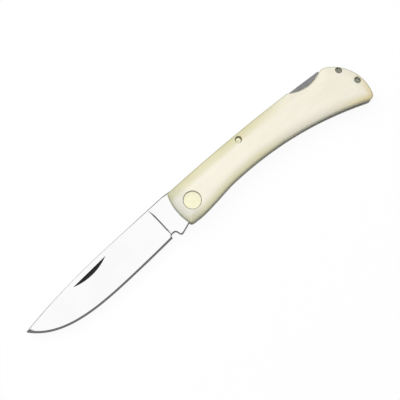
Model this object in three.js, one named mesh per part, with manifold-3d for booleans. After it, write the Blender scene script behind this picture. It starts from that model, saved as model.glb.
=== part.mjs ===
// Folding pocket knife with a rocker lock, open and locked.
// Millimetres. The origin is on the pivot axis, on the flat that the knife lies on.
// +X runs from the pivot to the butt, +Y towards the blade's spine, +Z out of the front scale.
import * as THREE from 'three';
import { mergeVertices } from 'three/addons/utils/BufferGeometryUtils.js';
import Module from 'manifold-3d';

const wasm = await Module();
wasm.setup();

// Layers of the handle
const scale_thickness = 3.9;
const liner_thickness = 0.8;
const blade_thickness = 3.0;
const blade_side_play = 0.1;

// Handle outline
const front_reach = 9.1;
const front_radius = 21.9;
const front_centre_y = -0.8;
const front_corner_drop = 8.0;
const back_height = 11.48;
const back_radius = 835;
const back_crest_x = -10.8;
const butt_reach = 104.07;
const butt_radius = 20.6;
const butt_centre_drop = 13.0;
const butt_corner_drop = 24.15;
const waist_x = 22.4;
const waist_drop = 7.3;
const belly_lead = 9.6;
const belly_slope = 0.26;
const waist_lead_front = 9.4;
const waist_lead_rear = 28.6;
const butt_lead = 23.6;
const butt_slope = 0.48;
const notch_inset = 21.67;
const notch_depth = 3.15;
const notch_radius = 20.0;

// Crown of the scales: a quarter ellipse whose foot lies just outside the outline
const crown_width = 6.0;
const crown_height = 2.4;
const crown_foot = 0.5;
const crown_samples = [0, 0.1, 0.22, 0.37, 0.57, 0.8];

// Rounded corners of the outline, each as a number of steps along the two rims that meet there
const front_belly_steps = 2;
const front_back_steps = 1;
const butt_corner_steps = 3;

// Blade
const blade_tip_inset = 1.75;
const tip_height = 7.65;
const tip_blunt = 0.4;
const tip_lead = 10.4;
const tip_rise = 2.9;
const tip_half = 0.4;
const spine_height = 12.3;
const spine_bend_x = -38.8;
const spine_lead = 26.0;
const taper_start_x = -40.0;
const tang_front_x = -9.4;
const tang_front_height = 12.15;
const heel_x = -19.2;
const heel_drop = 6.3;
const heel_wall = 1.0;
const edge_low_x = -52.3;
const edge_low_drop = 7.25;
const edge_lead = 18.2;
const tip_edge_lead = 8.4;
const tip_edge_fall = 12.45;
const edge_blunt = 0.03;
const bevel_half = 0.25;
const bevel_width = 1.1;
const bevel_most = 0.45;
const flank_overrun = 1.2;
const plunge_x = -17.6;
const plunge_length = 1.5;
const plunge_sweep = 0.95;
const plunge_fade = 12.0;
const tang_foot_x = -8.5;
const tang_foot_drop = 6.6;
const kick_x = -14.0;
const kick_drop = 8.3;
const kick_round = 1.3;
const choil_x = -17.1;
const choil_drop = 4.8;
const choil_round = 1.35;
const nick_x = -60.0;
const nick_y = 9.0;
const nick_length = 21.3;
const nick_drop = 1.9;
const nick_depth = 0.75;
const nick_turn = 1.4;

// Lock
const tang_round_radius = 5.85;
const tang_shoulder_x = -0.5;
const lock_gap = 0.3;
const nose_length = 6.0;
const nose_ramp = 1.5;
const lock_bar_depth = 4.05;
const rocker_x = 37.1;
const rocker_drop = 3.5;
const rocker_wall = 1.6;
const eye_blend = 18.0;
const rock_degrees = 3.0;
const tail_inset = 12.97;
const tongue_length = 33.1;
const tongue_tip_thickness = 0.9;
const tongue_root_thickness = 1.7;
const spring_end_drop = 14.6;
const spring_wall = 2.64;

// Pins
const pivot_pin_radius = 2.4;
const pivot_head_radius = 4.5;
const pivot_head_thickness = 2.2;
const pivot_head_chamfer = 0.35;
const pivot_head_cover = 0.8;
const pin_radius = 1.1;
const pin_head_radius = 1.35;
const pin_head_height = 1.4;
const pin_head_round = 0.3;
const pin_well_play = 0.43;
const upper_pin_inset = 2.58;
const upper_pin_angle = 38.3;
const lower_pin_inset = 3.04;
const lower_pin_angle = 3.9;
const pin_play = 0.05;
const head_play = 0.1;

// How far a cutter or a blank reaches past the faces that it opens or is ground to
const cut_past = 1.0;
const grind_stand_off = 0.3;

// Faceting
const circle_sides = 32;
const small_circle_sides = 20;
const curve_segments = 8;
const crescent_segments = 16;
const line_steps = 60;
const row_steps = 3;
const grip_steps = 11;
const notch_steps = 8;
const bar_under_steps = 28;
const bar_back_steps = 18;
const tongue_steps = 8;
const spine_steps = 20;
const grind_steps = 4;
const heel_steps = 6;
const edge_steps = 20;
const weld_distance = 1e-4;

// Levels along Z, worked out from the layers
const rear_liner_z = scale_thickness;
const slot_z = rear_liner_z + liner_thickness;
const slot_width = blade_thickness + 2 * blade_side_play;
const front_liner_z = slot_z + slot_width;
const front_scale_z = front_liner_z + liner_thickness;
const handle_thickness = front_scale_z + scale_thickness;
const blade_z = slot_z + blade_side_play;
const middle_z = handle_thickness / 2;

// Places along X that follow the butt, so that the closed tip and the spring stay inside it
const notch_x = butt_reach - notch_inset;
const tail_x = butt_reach - tail_inset;
const tongue_tip_x = tail_x - tongue_length;
const blade_reach = butt_reach - blade_tip_inset;

// Centres of the outline's arcs
const frontCentre = new THREE.Vector2(front_radius - front_reach, front_centre_y);
const buttCentre = new THREE.Vector2(butt_reach - butt_radius, -butt_centre_drop);
const backCentre = new THREE.Vector2(back_crest_x, back_height - back_radius);
const notchCentre = new THREE.Vector2(notch_x, backY(notch_x) - notch_depth + notch_radius);

// Pins across the handle
const pivot = new THREE.Vector2(0, 0);
const rocker = new THREE.Vector2(rocker_x, backY(rocker_x) - rocker_drop);
const upperPin = buttPoint(upper_pin_angle, upper_pin_inset);
const lowerPin = buttPoint(lower_pin_angle, lower_pin_inset);
const crossPins = [rocker, upperPin, lowerPin];

function backY(x) {
  return back_height - back_radius + Math.sqrt(back_radius ** 2 - (x - back_crest_x) ** 2);
}

function notchY(x) {
  return notchCentre.y - Math.sqrt(notch_radius ** 2 - (x - notch_x) ** 2);
}

function buttPoint(degrees, inset) {
  const angle = THREE.MathUtils.degToRad(degrees);
  const reach = butt_radius - inset;
  return new THREE.Vector2(buttCentre.x + reach * Math.cos(angle), buttCentre.y + reach * Math.sin(angle));
}

// Where two circles cross; side picks one of the two crossings.
function circlesCross(centreA, radiusA, centreB, radiusB, side) {
  const across = centreB.clone().sub(centreA);
  const distance = across.length();
  const along = (radiusA ** 2 - radiusB ** 2 + distance ** 2) / (2 * distance);
  const off = Math.sqrt(radiusA ** 2 - along ** 2) * side;
  across.normalize();
  return new THREE.Vector2(
    centreA.x + across.x * along - across.y * off,
    centreA.y + across.y * along + across.x * off,
  );
}

function arcPoints(centre, radius, from, to, shares) {
  const start = Math.atan2(from.y - centre.y, from.x - centre.x);
  const end = Math.atan2(to.y - centre.y, to.x - centre.x);
  let sweep = end - start;
  if (sweep < -Math.PI) sweep += 2 * Math.PI;
  if (sweep > Math.PI) sweep -= 2 * Math.PI;
  return shares.map((share) => {
    const angle = start + sweep * share;
    return new THREE.Vector2(centre.x + radius * Math.cos(angle), centre.y + radius * Math.sin(angle));
  });
}

// Height of a curve, given as points in order of X, at one x.
function heightAt(points, x) {
  for (let i = 1; i < points.length; i += 1) {
    const a = points[i - 1];
    const b = points[i];
    if ((a.x - x) * (b.x - x) <= 0 && a.x !== b.x) {
      return a.y + ((b.y - a.y) * (x - a.x)) / (b.x - a.x);
    }
  }
  const nearest = Math.abs(points[0].x - x) < Math.abs(points.at(-1).x - x) ? points[0] : points.at(-1);
  return nearest.y;
}

// Corners of the handle, before they are softened
const frontTop = circlesCross(frontCentre, front_radius, backCentre, back_radius, -1);
const frontBottom = new THREE.Vector2(
  frontCentre.x - Math.sqrt(front_radius ** 2 - (front_corner_drop + front_centre_y) ** 2),
  -front_corner_drop,
);
const buttBottom = new THREE.Vector2(
  buttCentre.x + Math.sqrt(butt_radius ** 2 - (butt_corner_drop - butt_centre_drop) ** 2),
  -butt_corner_drop,
);
const buttTop = circlesCross(notchCentre, notch_radius, buttCentre, butt_radius, 1);
const notchFront = circlesCross(notchCentre, notch_radius, backCentre, back_radius, -1);

// The belly line: two curves that meet level at the waist.
const waist = new THREE.Vector2(waist_x, -waist_drop);
const bellyLine = [
  ...new THREE.CubicBezierCurve(
    frontBottom,
    new THREE.Vector2(frontBottom.x + belly_lead, frontBottom.y - belly_lead * belly_slope),
    new THREE.Vector2(waist.x - waist_lead_front, waist.y),
    waist,
  ).getPoints(line_steps),
  ...new THREE.CubicBezierCurve(
    waist,
    new THREE.Vector2(waist.x + waist_lead_rear, waist.y),
    new THREE.Vector2(buttBottom.x - butt_lead, buttBottom.y + butt_lead * butt_slope),
    buttBottom,
  ).getPoints(line_steps).slice(1),
];

// Distances from a rim at which the crown is sampled, and shares of the handle's depth for the rows.
const band = crown_samples.map((share) => share * crown_width);
const rowShares = rowsAcross();
const backStations = stationsAlong(frontTop.x, buttTop.x);
const bellyStations = stationsAlong(frontBottom.x, buttBottom.x);

function rowsAcross() {
  const depth = back_height + waist_drop;
  const low = [...band, crown_width].map((inset) => inset / depth);
  const high = low.map((share) => 1 - share).reverse();
  const middle = evenly(low.at(-1), high[0], row_steps).slice(1, -1);
  return [...low, ...middle, ...high];
}

// Stations from the front corner to the butt corner: close at both rims, one on the notch's front corner.
function stationsAlong(start, end) {
  const stretch = (end - start) / (buttTop.x - frontTop.x);
  const notchStart = start + (notchFront.x - frontTop.x) * stretch;
  const frontBand = band.map((inset) => start + inset);
  const buttBand = band.map((inset) => end - inset).reverse();
  const grip = evenly(frontBand.at(-1), notchStart, grip_steps).slice(1);
  const notch = evenly(notchStart, buttBand[0], notch_steps).slice(1, -1);
  return [...frontBand, ...grip, ...notch, ...buttBand];
}

function evenly(from, to, steps) {
  return Array.from({ length: steps + 1 }, (_, i) => from + ((to - from) * i) / steps);
}

function rimY(x) {
  const inNotch = x > notchFront.x && x < buttTop.x;
  return inNotch ? notchY(x) : backY(x);
}

// The four rims run from low X to high X and from the belly to the back, with their shared corners softened.
function handleRims() {
  const belly = bellyStations.map((x) => new THREE.Vector2(x, heightAt(bellyLine, x)));
  const back = backStations.map((x) => new THREE.Vector2(x, rimY(x)));
  back[0].copy(frontTop);
  back.at(-1).copy(buttTop);
  const front = arcPoints(frontCentre, front_radius, frontBottom, frontTop, rowShares);
  const butt = arcPoints(buttCentre, butt_radius, buttBottom, buttTop, rowShares);
  belly[0].copy(frontBottom);
  belly.at(-1).copy(buttBottom);
  soften(front, belly, front_belly_steps);
  soften([...front].reverse(), back, front_back_steps);
  soften([...belly].reverse(), butt, butt_corner_steps);
  soften([...back].reverse(), [...butt].reverse(), butt_corner_steps);
  return { belly, back, front, butt };
}

// Rounds the corner that two rims share, each given from the corner outwards, over a few of their points.
function soften(rimA, rimB, steps) {
  const corner = rimA[0].clone();
  const curve = new THREE.QuadraticBezierCurve(rimA[steps].clone(), corner, rimB[steps].clone());
  for (let i = 0; i <= steps; i += 1) {
    rimA[i].copy(curve.getPoint(0.5 - (0.5 * i) / steps));
    rimB[i].copy(curve.getPoint(0.5 + (0.5 * i) / steps));
  }
}

const rims = handleRims();

// The closed outline, anticlockwise from the front corner of the belly.
const outline = [
  ...rims.belly.slice(0, -1),
  ...rims.butt.slice(0, -1),
  ...[...rims.back].reverse().slice(0, -1),
  ...[...rims.front].reverse().slice(0, -1),
];

function distanceToOutline(point) {
  let nearest = Infinity;
  outline.forEach((a, i) => {
    const b = outline[(i + 1) % outline.length];
    const edge = b.clone().sub(a);
    const share = point.clone().sub(a).dot(edge) / edge.lengthSq();
    const foot = a.clone().addScaledVector(edge, THREE.MathUtils.clamp(share, 0, 1));
    nearest = Math.min(nearest, foot.distanceTo(point));
  });
  return nearest;
}

function crownDrop(distance) {
  const reach = crown_width + crown_foot;
  const share = Math.max(0, crown_width - distance) / reach;
  return crown_height * (1 - Math.sqrt(1 - share ** 2));
}

function solid(geometry) {
  const bare = geometry.clone();
  bare.deleteAttribute('normal');
  bare.deleteAttribute('uv');
  const merged = mergeVertices(bare, weld_distance);
  return new wasm.Manifold(new wasm.Mesh({
    numProp: 3,
    vertProperties: new Float32Array(merged.attributes.position.array),
    triVerts: new Uint32Array(merged.index.array),
  }));
}

function geometryOf(manifold) {
  const mesh = manifold.getMesh();
  const geometry = new THREE.BufferGeometry();
  geometry.setAttribute('position', new THREE.BufferAttribute(mesh.vertProperties, 3));
  geometry.setIndex(new THREE.BufferAttribute(mesh.triVerts, 1));
  return geometry;
}

function surface(positions, triangles) {
  const geometry = new THREE.BufferGeometry();
  geometry.setAttribute('position', new THREE.Float32BufferAttribute(positions, 3));
  geometry.setIndex(triangles);
  return geometry;
}

function plate(shape, z, thickness) {
  const settings = { depth: thickness, bevelEnabled: false, curveSegments: curve_segments };
  return new THREE.ExtrudeGeometry(shape, settings).translate(0, 0, z);
}

function circleHole(centre, radius, sides) {
  const points = evenly(0, 2 * Math.PI, sides).slice(0, -1).map(
    (angle) => new THREE.Vector2(centre.x + radius * Math.cos(angle), centre.y + radius * Math.sin(angle)),
  );
  return new THREE.Path(points.reverse());
}

function drill(centre, radius, fromZ, toZ, sides) {
  const rod = new THREE.CylinderGeometry(radius, radius, toZ - fromZ, sides);
  rod.rotateX(Math.PI / 2);
  return solid(rod.translate(centre.x, centre.y, (fromZ + toZ) / 2));
}

// A round piece turned about Z through a centre; the profile lists radius and Z pairs from below upwards.
function turned(profile, centre, sides) {
  const geometry = new THREE.LatheGeometry(profile.map(([r, z]) => new THREE.Vector2(r, z)), sides);
  geometry.rotateX(Math.PI / 2);
  return geometry.translate(centre.x, centre.y, 0);
}

// One scale as a crowned slab: a grid between the four rims, side walls and a flat inner face.
// It is shaped with its inner face at Z = 0 and its crown upwards.
function crownedSlab() {
  const columns = backStations.length;
  const rows = rowShares.length;
  const positions = [];
  const triangles = [];
  const at = (i, j) => i * rows + j;
  for (let i = 0; i < columns; i += 1) {
    const u = (backStations[i] - frontTop.x) / (buttTop.x - frontTop.x);
    for (let j = 0; j < rows; j += 1) {
      const point = patchPoint(i, j, u, rowShares[j]);
      const onRim = i === 0 || j === 0 || i === columns - 1 || j === rows - 1;
      const drop = crownDrop(onRim ? 0 : distanceToOutline(point));
      positions.push(point.x, point.y, scale_thickness - drop);
      if (i > 0 && j > 0) {
        triangles.push(at(i - 1, j - 1), at(i, j - 1), at(i - 1, j));
        triangles.push(at(i, j - 1), at(i, j), at(i - 1, j));
      }
    }
  }
  const rimIndices = [
    ...evenly(0, columns - 1, columns - 1).map((i) => at(i, 0)).slice(0, -1),
    ...evenly(0, rows - 1, rows - 1).map((j) => at(columns - 1, j)).slice(0, -1),
    ...evenly(columns - 1, 0, columns - 1).map((i) => at(i, rows - 1)).slice(0, -1),
    ...evenly(rows - 1, 0, rows - 1).map((j) => at(0, j)).slice(0, -1),
  ];
  const base = positions.length / 3;
  outline.forEach((point) => positions.push(point.x, point.y, 0));
  rimIndices.forEach((rim, i) => {
    const next = (i + 1) % rimIndices.length;
    triangles.push(base + i, base + next, rimIndices[next]);
    triangles.push(base + i, rimIndices[next], rim);
  });
  THREE.ShapeUtils.triangulateShape(outline, []).forEach(([a, b, c]) => {
    triangles.push(base + a, base + c, base + b);
  });
  return surface(positions, triangles);
}

// A point of the patch stretched between the four rims.
function patchPoint(i, j, u, v) {
  const { belly, back, front, butt } = rims;
  const point = new THREE.Vector2();
  point.addScaledVector(belly[i], 1 - v).addScaledVector(back[i], v);
  point.addScaledVector(front[j], 1 - u).addScaledVector(butt[j], u);
  point.addScaledVector(front[0], -(1 - u) * (1 - v)).addScaledVector(butt[0], -u * (1 - v));
  point.addScaledVector(front.at(-1), -(1 - u) * v).addScaledVector(butt.at(-1), -u * v);
  return point;
}

// The well that seats a pivot head, the pivot pin's hole and the wells of the three small pins.
function scaleCuts() {
  const outer = scale_thickness + cut_past;
  const seat = scale_thickness - pivot_head_thickness;
  const wellRadius = pin_head_radius + pin_well_play;
  const cuts = [
    drill(pivot, pivot_head_radius + head_play, seat, outer, circle_sides),
    drill(pivot, pivot_pin_radius + head_play, -cut_past, outer, circle_sides),
    ...crossPins.map((pin) => drill(pin, wellRadius, -cut_past, outer, small_circle_sides)),
  ];
  return cuts.reduce((all, cut) => all.add(cut));
}

function frontScale() {
  return geometryOf(solid(crownedSlab()).subtract(scaleCuts())).translate(0, 0, front_scale_z);
}

// The rear scale is the front one mirrored about the handle's middle plane.
function rearScale() {
  const scale = frontScale();
  scale.scale(1, 1, -1);
  scale.translate(0, 0, handle_thickness);
  const corners = scale.index.array;
  for (let i = 0; i < corners.length; i += 3) {
    [corners[i], corners[i + 1]] = [corners[i + 1], corners[i]];
  }
  return scale;
}

function liner(z) {
  const shape = new THREE.Shape(outline);
  shape.holes.push(circleHole(pivot, pivot_pin_radius + pin_play, circle_sides));
  crossPins.forEach((pin) => shape.holes.push(circleHole(pin, pin_radius + pin_play, small_circle_sides)));
  return plate(shape, z, liner_thickness);
}

// The blade's curves: the spine from the tip to its straight stretch, and the edge from the heel to the tip.
const spineLine = new THREE.CubicBezierCurve(
  new THREE.Vector2(-blade_reach, tip_height),
  new THREE.Vector2(-blade_reach + tip_lead, tip_height + tip_rise),
  new THREE.Vector2(spine_bend_x - spine_lead, spine_height),
  new THREE.Vector2(spine_bend_x, spine_height),
);
const heel = new THREE.Vector2(heel_x, -heel_drop);
const edgeLow = new THREE.Vector2(edge_low_x, -edge_low_drop);
const heelLine = new THREE.QuadraticBezierCurve(
  heel,
  new THREE.Vector2((heel_x + edge_low_x) / 2, -edge_low_drop),
  edgeLow,
);
const bellyCurve = new THREE.CubicBezierCurve(
  edgeLow,
  new THREE.Vector2(edge_low_x - edge_lead, -edge_low_drop),
  new THREE.Vector2(-blade_reach + tip_edge_lead, tip_height - tip_blunt - tip_edge_fall),
  new THREE.Vector2(-blade_reach, tip_height - tip_blunt),
);

// The blank that the blade is ground from, at full thickness: spine, tang, shoulder, round, kick and choil.
// Past the tip and below the edge it stays oversize.
function bladeBlank() {
  const shoulderTop = backY(tang_shoulder_x);
  const roundStart = Math.atan2(
    Math.sqrt(tang_round_radius ** 2 - tang_shoulder_x ** 2),
    tang_shoulder_x,
  );
  const hollow = new THREE.Vector2((kick_x + choil_x) / 2, -(kick_drop + choil_drop) / 2);
  const past = -blade_reach - cut_past;
  const below = -edge_low_drop - cut_past;
  const shape = new THREE.Shape();
  shape.moveTo(past, tip_height);
  spineLine.getPoints(spine_steps).forEach((point) => shape.lineTo(point.x, point.y));
  shape.lineTo(tang_front_x, tang_front_height);
  shape.lineTo(tang_shoulder_x, shoulderTop);
  shape.absarc(0, 0, tang_round_radius, roundStart, -Math.PI / 2, true);
  shape.lineTo(tang_foot_x, -tang_foot_drop);
  shape.lineTo(kick_x, -kick_drop);
  shape.quadraticCurveTo(kick_x - kick_round, -kick_drop, hollow.x, hollow.y);
  shape.quadraticCurveTo(choil_x + choil_round, -choil_drop, choil_x, -choil_drop);
  shape.quadraticCurveTo(choil_x - choil_round, -choil_drop, heel_x, heel_wall - heel_drop);
  shape.lineTo(heel_x, below);
  shape.lineTo(past, below);
  return plate(shape, blade_z, blade_thickness);
}

// Half thickness of the ground blade at a share of the way from the bevel up to the spine.
// Its slope goes on a little past the spine.
function groundHalf(x, share) {
  const taper = THREE.MathUtils.clamp((taper_start_x - x) / (taper_start_x + blade_reach), 0, 1);
  const spineHalf = THREE.MathUtils.lerp(blade_thickness / 2, tip_half, taper ** 2);
  return THREE.MathUtils.lerp(bevel_half, spineHalf, Math.min(share, flank_overrun));
}

// The room that grinding leaves: flat sides, which run on past the spine, a bevel and the plunge.
function grindForm() {
  const stations = [
    { x: tang_round_radius + cut_past, y: -heel_drop, slope: 0, ground: 0 },
    ...evenly(0, 1, grind_steps).map((step) => ({
      x: plunge_x - plunge_length * step,
      y: -heel_drop,
      slope: 0,
      ground: Math.sqrt(1 - (1 - step) ** 2),
    })),
    ...curveStations(heelLine, heel_steps),
    ...curveStations(bellyCurve, edge_steps),
  ];
  const spinePoints = spineLine.getPoints(line_steps);
  return lofted(stations.map((station) => ringOf(station, spinePoints)));
}

function curveStations(curve, count) {
  return curve.getPoints(count).slice(1).map((point, i) => {
    const tangent = curve.getTangent((i + 1) / count);
    return { x: point.x, y: point.y, slope: Math.abs(tangent.y / tangent.x), ground: 1 };
  });
}

// One section of the form, from the edge up one side and down the other.
function ringOf({ x, y, slope, ground }, spinePoints) {
  const clear = blade_thickness / 2 + grind_stand_off;
  const top = x > spine_bend_x ? spine_height : heightAt(spinePoints, x);
  const rise = Math.min(bevel_width * Math.sqrt(1 + slope ** 2), (top - y) * bevel_most);
  const sweep = x > 0 ? 0 : plunge_sweep * THREE.MathUtils.clamp(1 + (x - plunge_x) / plunge_fade, 0, 1);
  const foot = THREE.MathUtils.lerp(-kick_drop - cut_past, y, ground);
  const side = [[x, foot, THREE.MathUtils.lerp(clear, edge_blunt, ground)]];
  evenly(y + rise, top + cut_past, grind_steps).forEach((height) => {
    const share = (height - y - rise) / (top - y - rise);
    const half = THREE.MathUtils.lerp(clear, groundHalf(x, share), ground);
    side.push([x - sweep * share ** 3, height, half]);
  });
  const otherSide = [...side].reverse().map(([px, py, half]) => [px, py, -half]);
  return [...side, ...otherSide];
}

// A closed solid through sections that have equally many points, with flat ends.
function lofted(rings) {
  const size = rings[0].length;
  const positions = rings.flatMap((ring) => ring.flatMap(([x, y, half]) => [x, y, middle_z + half]));
  const triangles = [];
  for (let k = 1; k < rings.length; k += 1) {
    for (let i = 0; i < size; i += 1) {
      const next = (i + 1) % size;
      const a = (k - 1) * size;
      const b = k * size;
      triangles.push(a + i, a + next, b + next);
      triangles.push(a + i, b + next, b + i);
    }
  }
  const end = (rings.length - 1) * size;
  for (let i = 0; i < size / 2 - 1; i += 1) {
    const j = size - 1 - i;
    triangles.push(i, j, j - 1);
    triangles.push(i, j - 1, i + 1);
    triangles.push(end + i, end + j - 1, end + j);
    triangles.push(end + i, end + i + 1, end + j - 1);
  }
  return surface(positions, triangles);
}

// The nail nick: a crescent whose floor is deepest under its straight upper edge.
function nickCut() {
  const radius = ((nick_length / 2) ** 2 + nick_drop ** 2) / (2 * nick_drop);
  const halfAngle = Math.asin(nick_length / 2 / radius);
  const shape = new THREE.Shape();
  shape.absarc(0, radius - nick_drop, radius, -Math.PI / 2 - halfAngle, -Math.PI / 2 + halfAngle, false);
  const settings = { depth: blade_thickness, bevelEnabled: false, curveSegments: crescent_segments };
  const cutter = new THREE.ExtrudeGeometry(shape, settings);
  const span = spine_height + edge_low_drop;
  const faceAtEdge = groundHalf(nick_x, (nick_y + edge_low_drop) / span);
  const faceAtFoot = groundHalf(nick_x, (nick_y - nick_drop + edge_low_drop) / span);
  const floor = faceAtEdge - nick_depth;
  cutter.rotateX(-Math.atan2(faceAtFoot - floor, nick_drop));
  cutter.rotateZ(THREE.MathUtils.degToRad(nick_turn));
  return cutter.translate(nick_x, nick_y, middle_z + floor);
}

function blade() {
  const ground = solid(bladeBlank()).intersect(solid(grindForm()));
  const hole = drill(pivot, pivot_pin_radius + pin_play, 0, handle_thickness, circle_sides);
  return geometryOf(ground.subtract(hole).subtract(solid(nickCut())));
}

// Underside of the rocker bar: parallel to the back, deeper round the eye of its pin.
function barUnderside(x) {
  const eyeRadius = pin_radius + pin_play + rocker_wall;
  const eyeDepth = rocker_drop + eyeRadius - lock_bar_depth;
  const away = Math.min(1, Math.abs(x - rocker.x) / eye_blend);
  return backY(x) - lock_bar_depth - eyeDepth * Math.cos((away * Math.PI) / 2) ** 2;
}

function lockBar() {
  const noseX = tang_shoulder_x + lock_gap;
  const noseY = tang_round_radius + lock_gap;
  const shape = new THREE.Shape();
  shape.moveTo(noseX, noseY);
  shape.lineTo(noseX + nose_length, noseY);
  const underStart = noseX + nose_length + nose_ramp;
  evenly(underStart, tail_x, bar_under_steps).forEach((x) => shape.lineTo(x, barUnderside(x)));
  evenly(tail_x, noseX, bar_back_steps).forEach((x) => shape.lineTo(x, backY(x)));
  shape.holes.push(circleHole(rocker, pin_radius + pin_play, small_circle_sides));
  return plate(shape, blade_z, blade_thickness);
}

// The back spring: a block pinned in the butt, flush with its outline, and a tongue that bears on the bar at its tip.
// Towards its root the tongue falls away, to leave room for the bar's travel.
function backSpring() {
  const faceX = tail_x + lock_gap;
  const endY = -spring_end_drop;
  const outer = outline.filter((point) => point.x > faceX && point.y > endY);
  const travel = (tail_x - rocker_x) * Math.sin(THREE.MathUtils.degToRad(rock_degrees));
  const tongueTop = (x) => {
    const room = (travel * (x - tongue_tip_x)) / (faceX - tongue_tip_x);
    return barUnderside(Math.min(x, tail_x)) - lock_gap - room;
  };
  const tongueUnder = (x) => {
    const share = (x - tongue_tip_x) / (faceX - tongue_tip_x);
    return tongueTop(x) - THREE.MathUtils.lerp(tongue_tip_thickness, tongue_root_thickness, share);
  };
  const shape = new THREE.Shape();
  shape.moveTo(tongue_tip_x, tongueTop(tongue_tip_x));
  evenly(tongue_tip_x, faceX, tongue_steps).forEach((x) => shape.lineTo(x, tongueUnder(x)));
  const innerX = lowerPin.x - spring_wall;
  shape.quadraticCurveTo(upperPin.x, upperPin.y - spring_wall, innerX, lowerPin.y);
  shape.quadraticCurveTo(innerX, lowerPin.y - spring_wall, lowerPin.x, endY);
  const endAngle = Math.asin((endY - buttCentre.y) / butt_radius);
  shape.lineTo(buttCentre.x + butt_radius * Math.cos(endAngle), endY);
  outer.forEach((point) => shape.lineTo(point.x, point.y));
  shape.lineTo(faceX, rimY(faceX));
  evenly(faceX, tongue_tip_x, tongue_steps).slice(0, -1).forEach((x) => shape.lineTo(x, tongueTop(x)));
  [upperPin, lowerPin].forEach((pin) => {
    shape.holes.push(circleHole(pin, pin_radius + pin_play, small_circle_sides));
  });
  return plate(shape, slot_z, slot_width);
}

// A small cross pin, peened over both liners inside the wells of the scales.
function crossPin(centre) {
  const low = rear_liner_z - pin_head_height;
  const high = front_scale_z + pin_head_height;
  return turned([
    [0, low],
    [pin_head_radius - pin_head_round, low],
    [pin_head_radius, low + pin_head_round],
    [pin_head_radius, rear_liner_z],
    [pin_radius, rear_liner_z],
    [pin_radius, front_scale_z],
    [pin_head_radius, front_scale_z],
    [pin_head_radius, high - pin_head_round],
    [pin_head_radius - pin_head_round, high],
    [0, high],
  ], centre, small_circle_sides);
}

// The pivot pin runs from one head's blind bore to the other's.
function pivotPin() {
  const end = pivot_head_cover + pin_play;
  return turned([
    [0, end],
    [pivot_pin_radius, end],
    [pivot_pin_radius, handle_thickness - end],
    [0, handle_thickness - end],
  ], pivot, circle_sides);
}

// A pivot head: a disc with a blind bore from below for the end of the pivot pin.
function pivotHead() {
  const seat = handle_thickness - pivot_head_thickness;
  const boreRadius = pivot_pin_radius + pin_play;
  const boreTop = handle_thickness - pivot_head_cover;
  return turned([
    [0, boreTop],
    [boreRadius, boreTop],
    [boreRadius, seat],
    [pivot_head_radius, seat],
    [pivot_head_radius, handle_thickness - pivot_head_chamfer],
    [pivot_head_radius - pivot_head_chamfer, handle_thickness],
    [0, handle_thickness],
  ], pivot, circle_sides);
}

// The rear head is the front one turned over, about a line along X through the handle's middle.
function rearPivotHead() {
  return pivotHead().rotateX(Math.PI).translate(0, 0, handle_thickness);
}

function steel(color, roughness) {
  return new THREE.MeshStandardMaterial({ color, roughness, metalness: 1 });
}

const bone = () => new THREE.MeshStandardMaterial({ color: 0xf2edd9, roughness: 0.32, metalness: 0 });
const brass = () => new THREE.MeshStandardMaterial({ color: 0xf3ecb8, roughness: 0.28, metalness: 1 });

const knife = new THREE.Group();

function addPiece(name, geometry, material) {
  const mesh = new THREE.Mesh(geometry, material);
  mesh.name = name;
  knife.add(mesh);
}

addPiece('front_scale', frontScale(), bone());
addPiece('rear_scale', rearScale(), bone());
addPiece('front_liner', liner(front_liner_z), steel(0xa9a69c, 0.35));
addPiece('rear_liner', liner(rear_liner_z), steel(0xa9a69c, 0.35));
addPiece('blade', blade(), steel(0xf0f0f0, 0.08));
addPiece('lock_bar', lockBar(), steel(0x969799, 0.3));
addPiece('back_spring', backSpring(), steel(0x969799, 0.3));
addPiece('pivot_pin', pivotPin(), steel(0xb0b0ae, 0.3));
addPiece('front_pivot_head', pivotHead(), brass());
addPiece('rear_pivot_head', rearPivotHead(), brass());
addPiece('rocker_pin', crossPin(rocker), brass());
addPiece('butt_pin_upper', crossPin(upperPin), steel(0x84887a, 0.35));
addPiece('butt_pin_lower', crossPin(lowerPin), steel(0x84887a, 0.35));

export default knife;
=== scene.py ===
"""A folding pocket knife that locks at its back, lying open: its dressed pieces, floor, lamp and camera.

Shapes are worked out in millimetres and turned into metres when a piece is made.
X runs along the handle towards its butt, Y towards the back, and Z up from the rear scale.
"""

import math
from types import SimpleNamespace

import bmesh
import bpy
import numpy as np
from bpy.props import FloatProperty, FloatVectorProperty, PointerProperty
from bpy.types import Operator, Panel, PropertyGroup
from mathutils import Matrix, Vector
from mathutils.geometry import delaunay_2d_cdt


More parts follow.
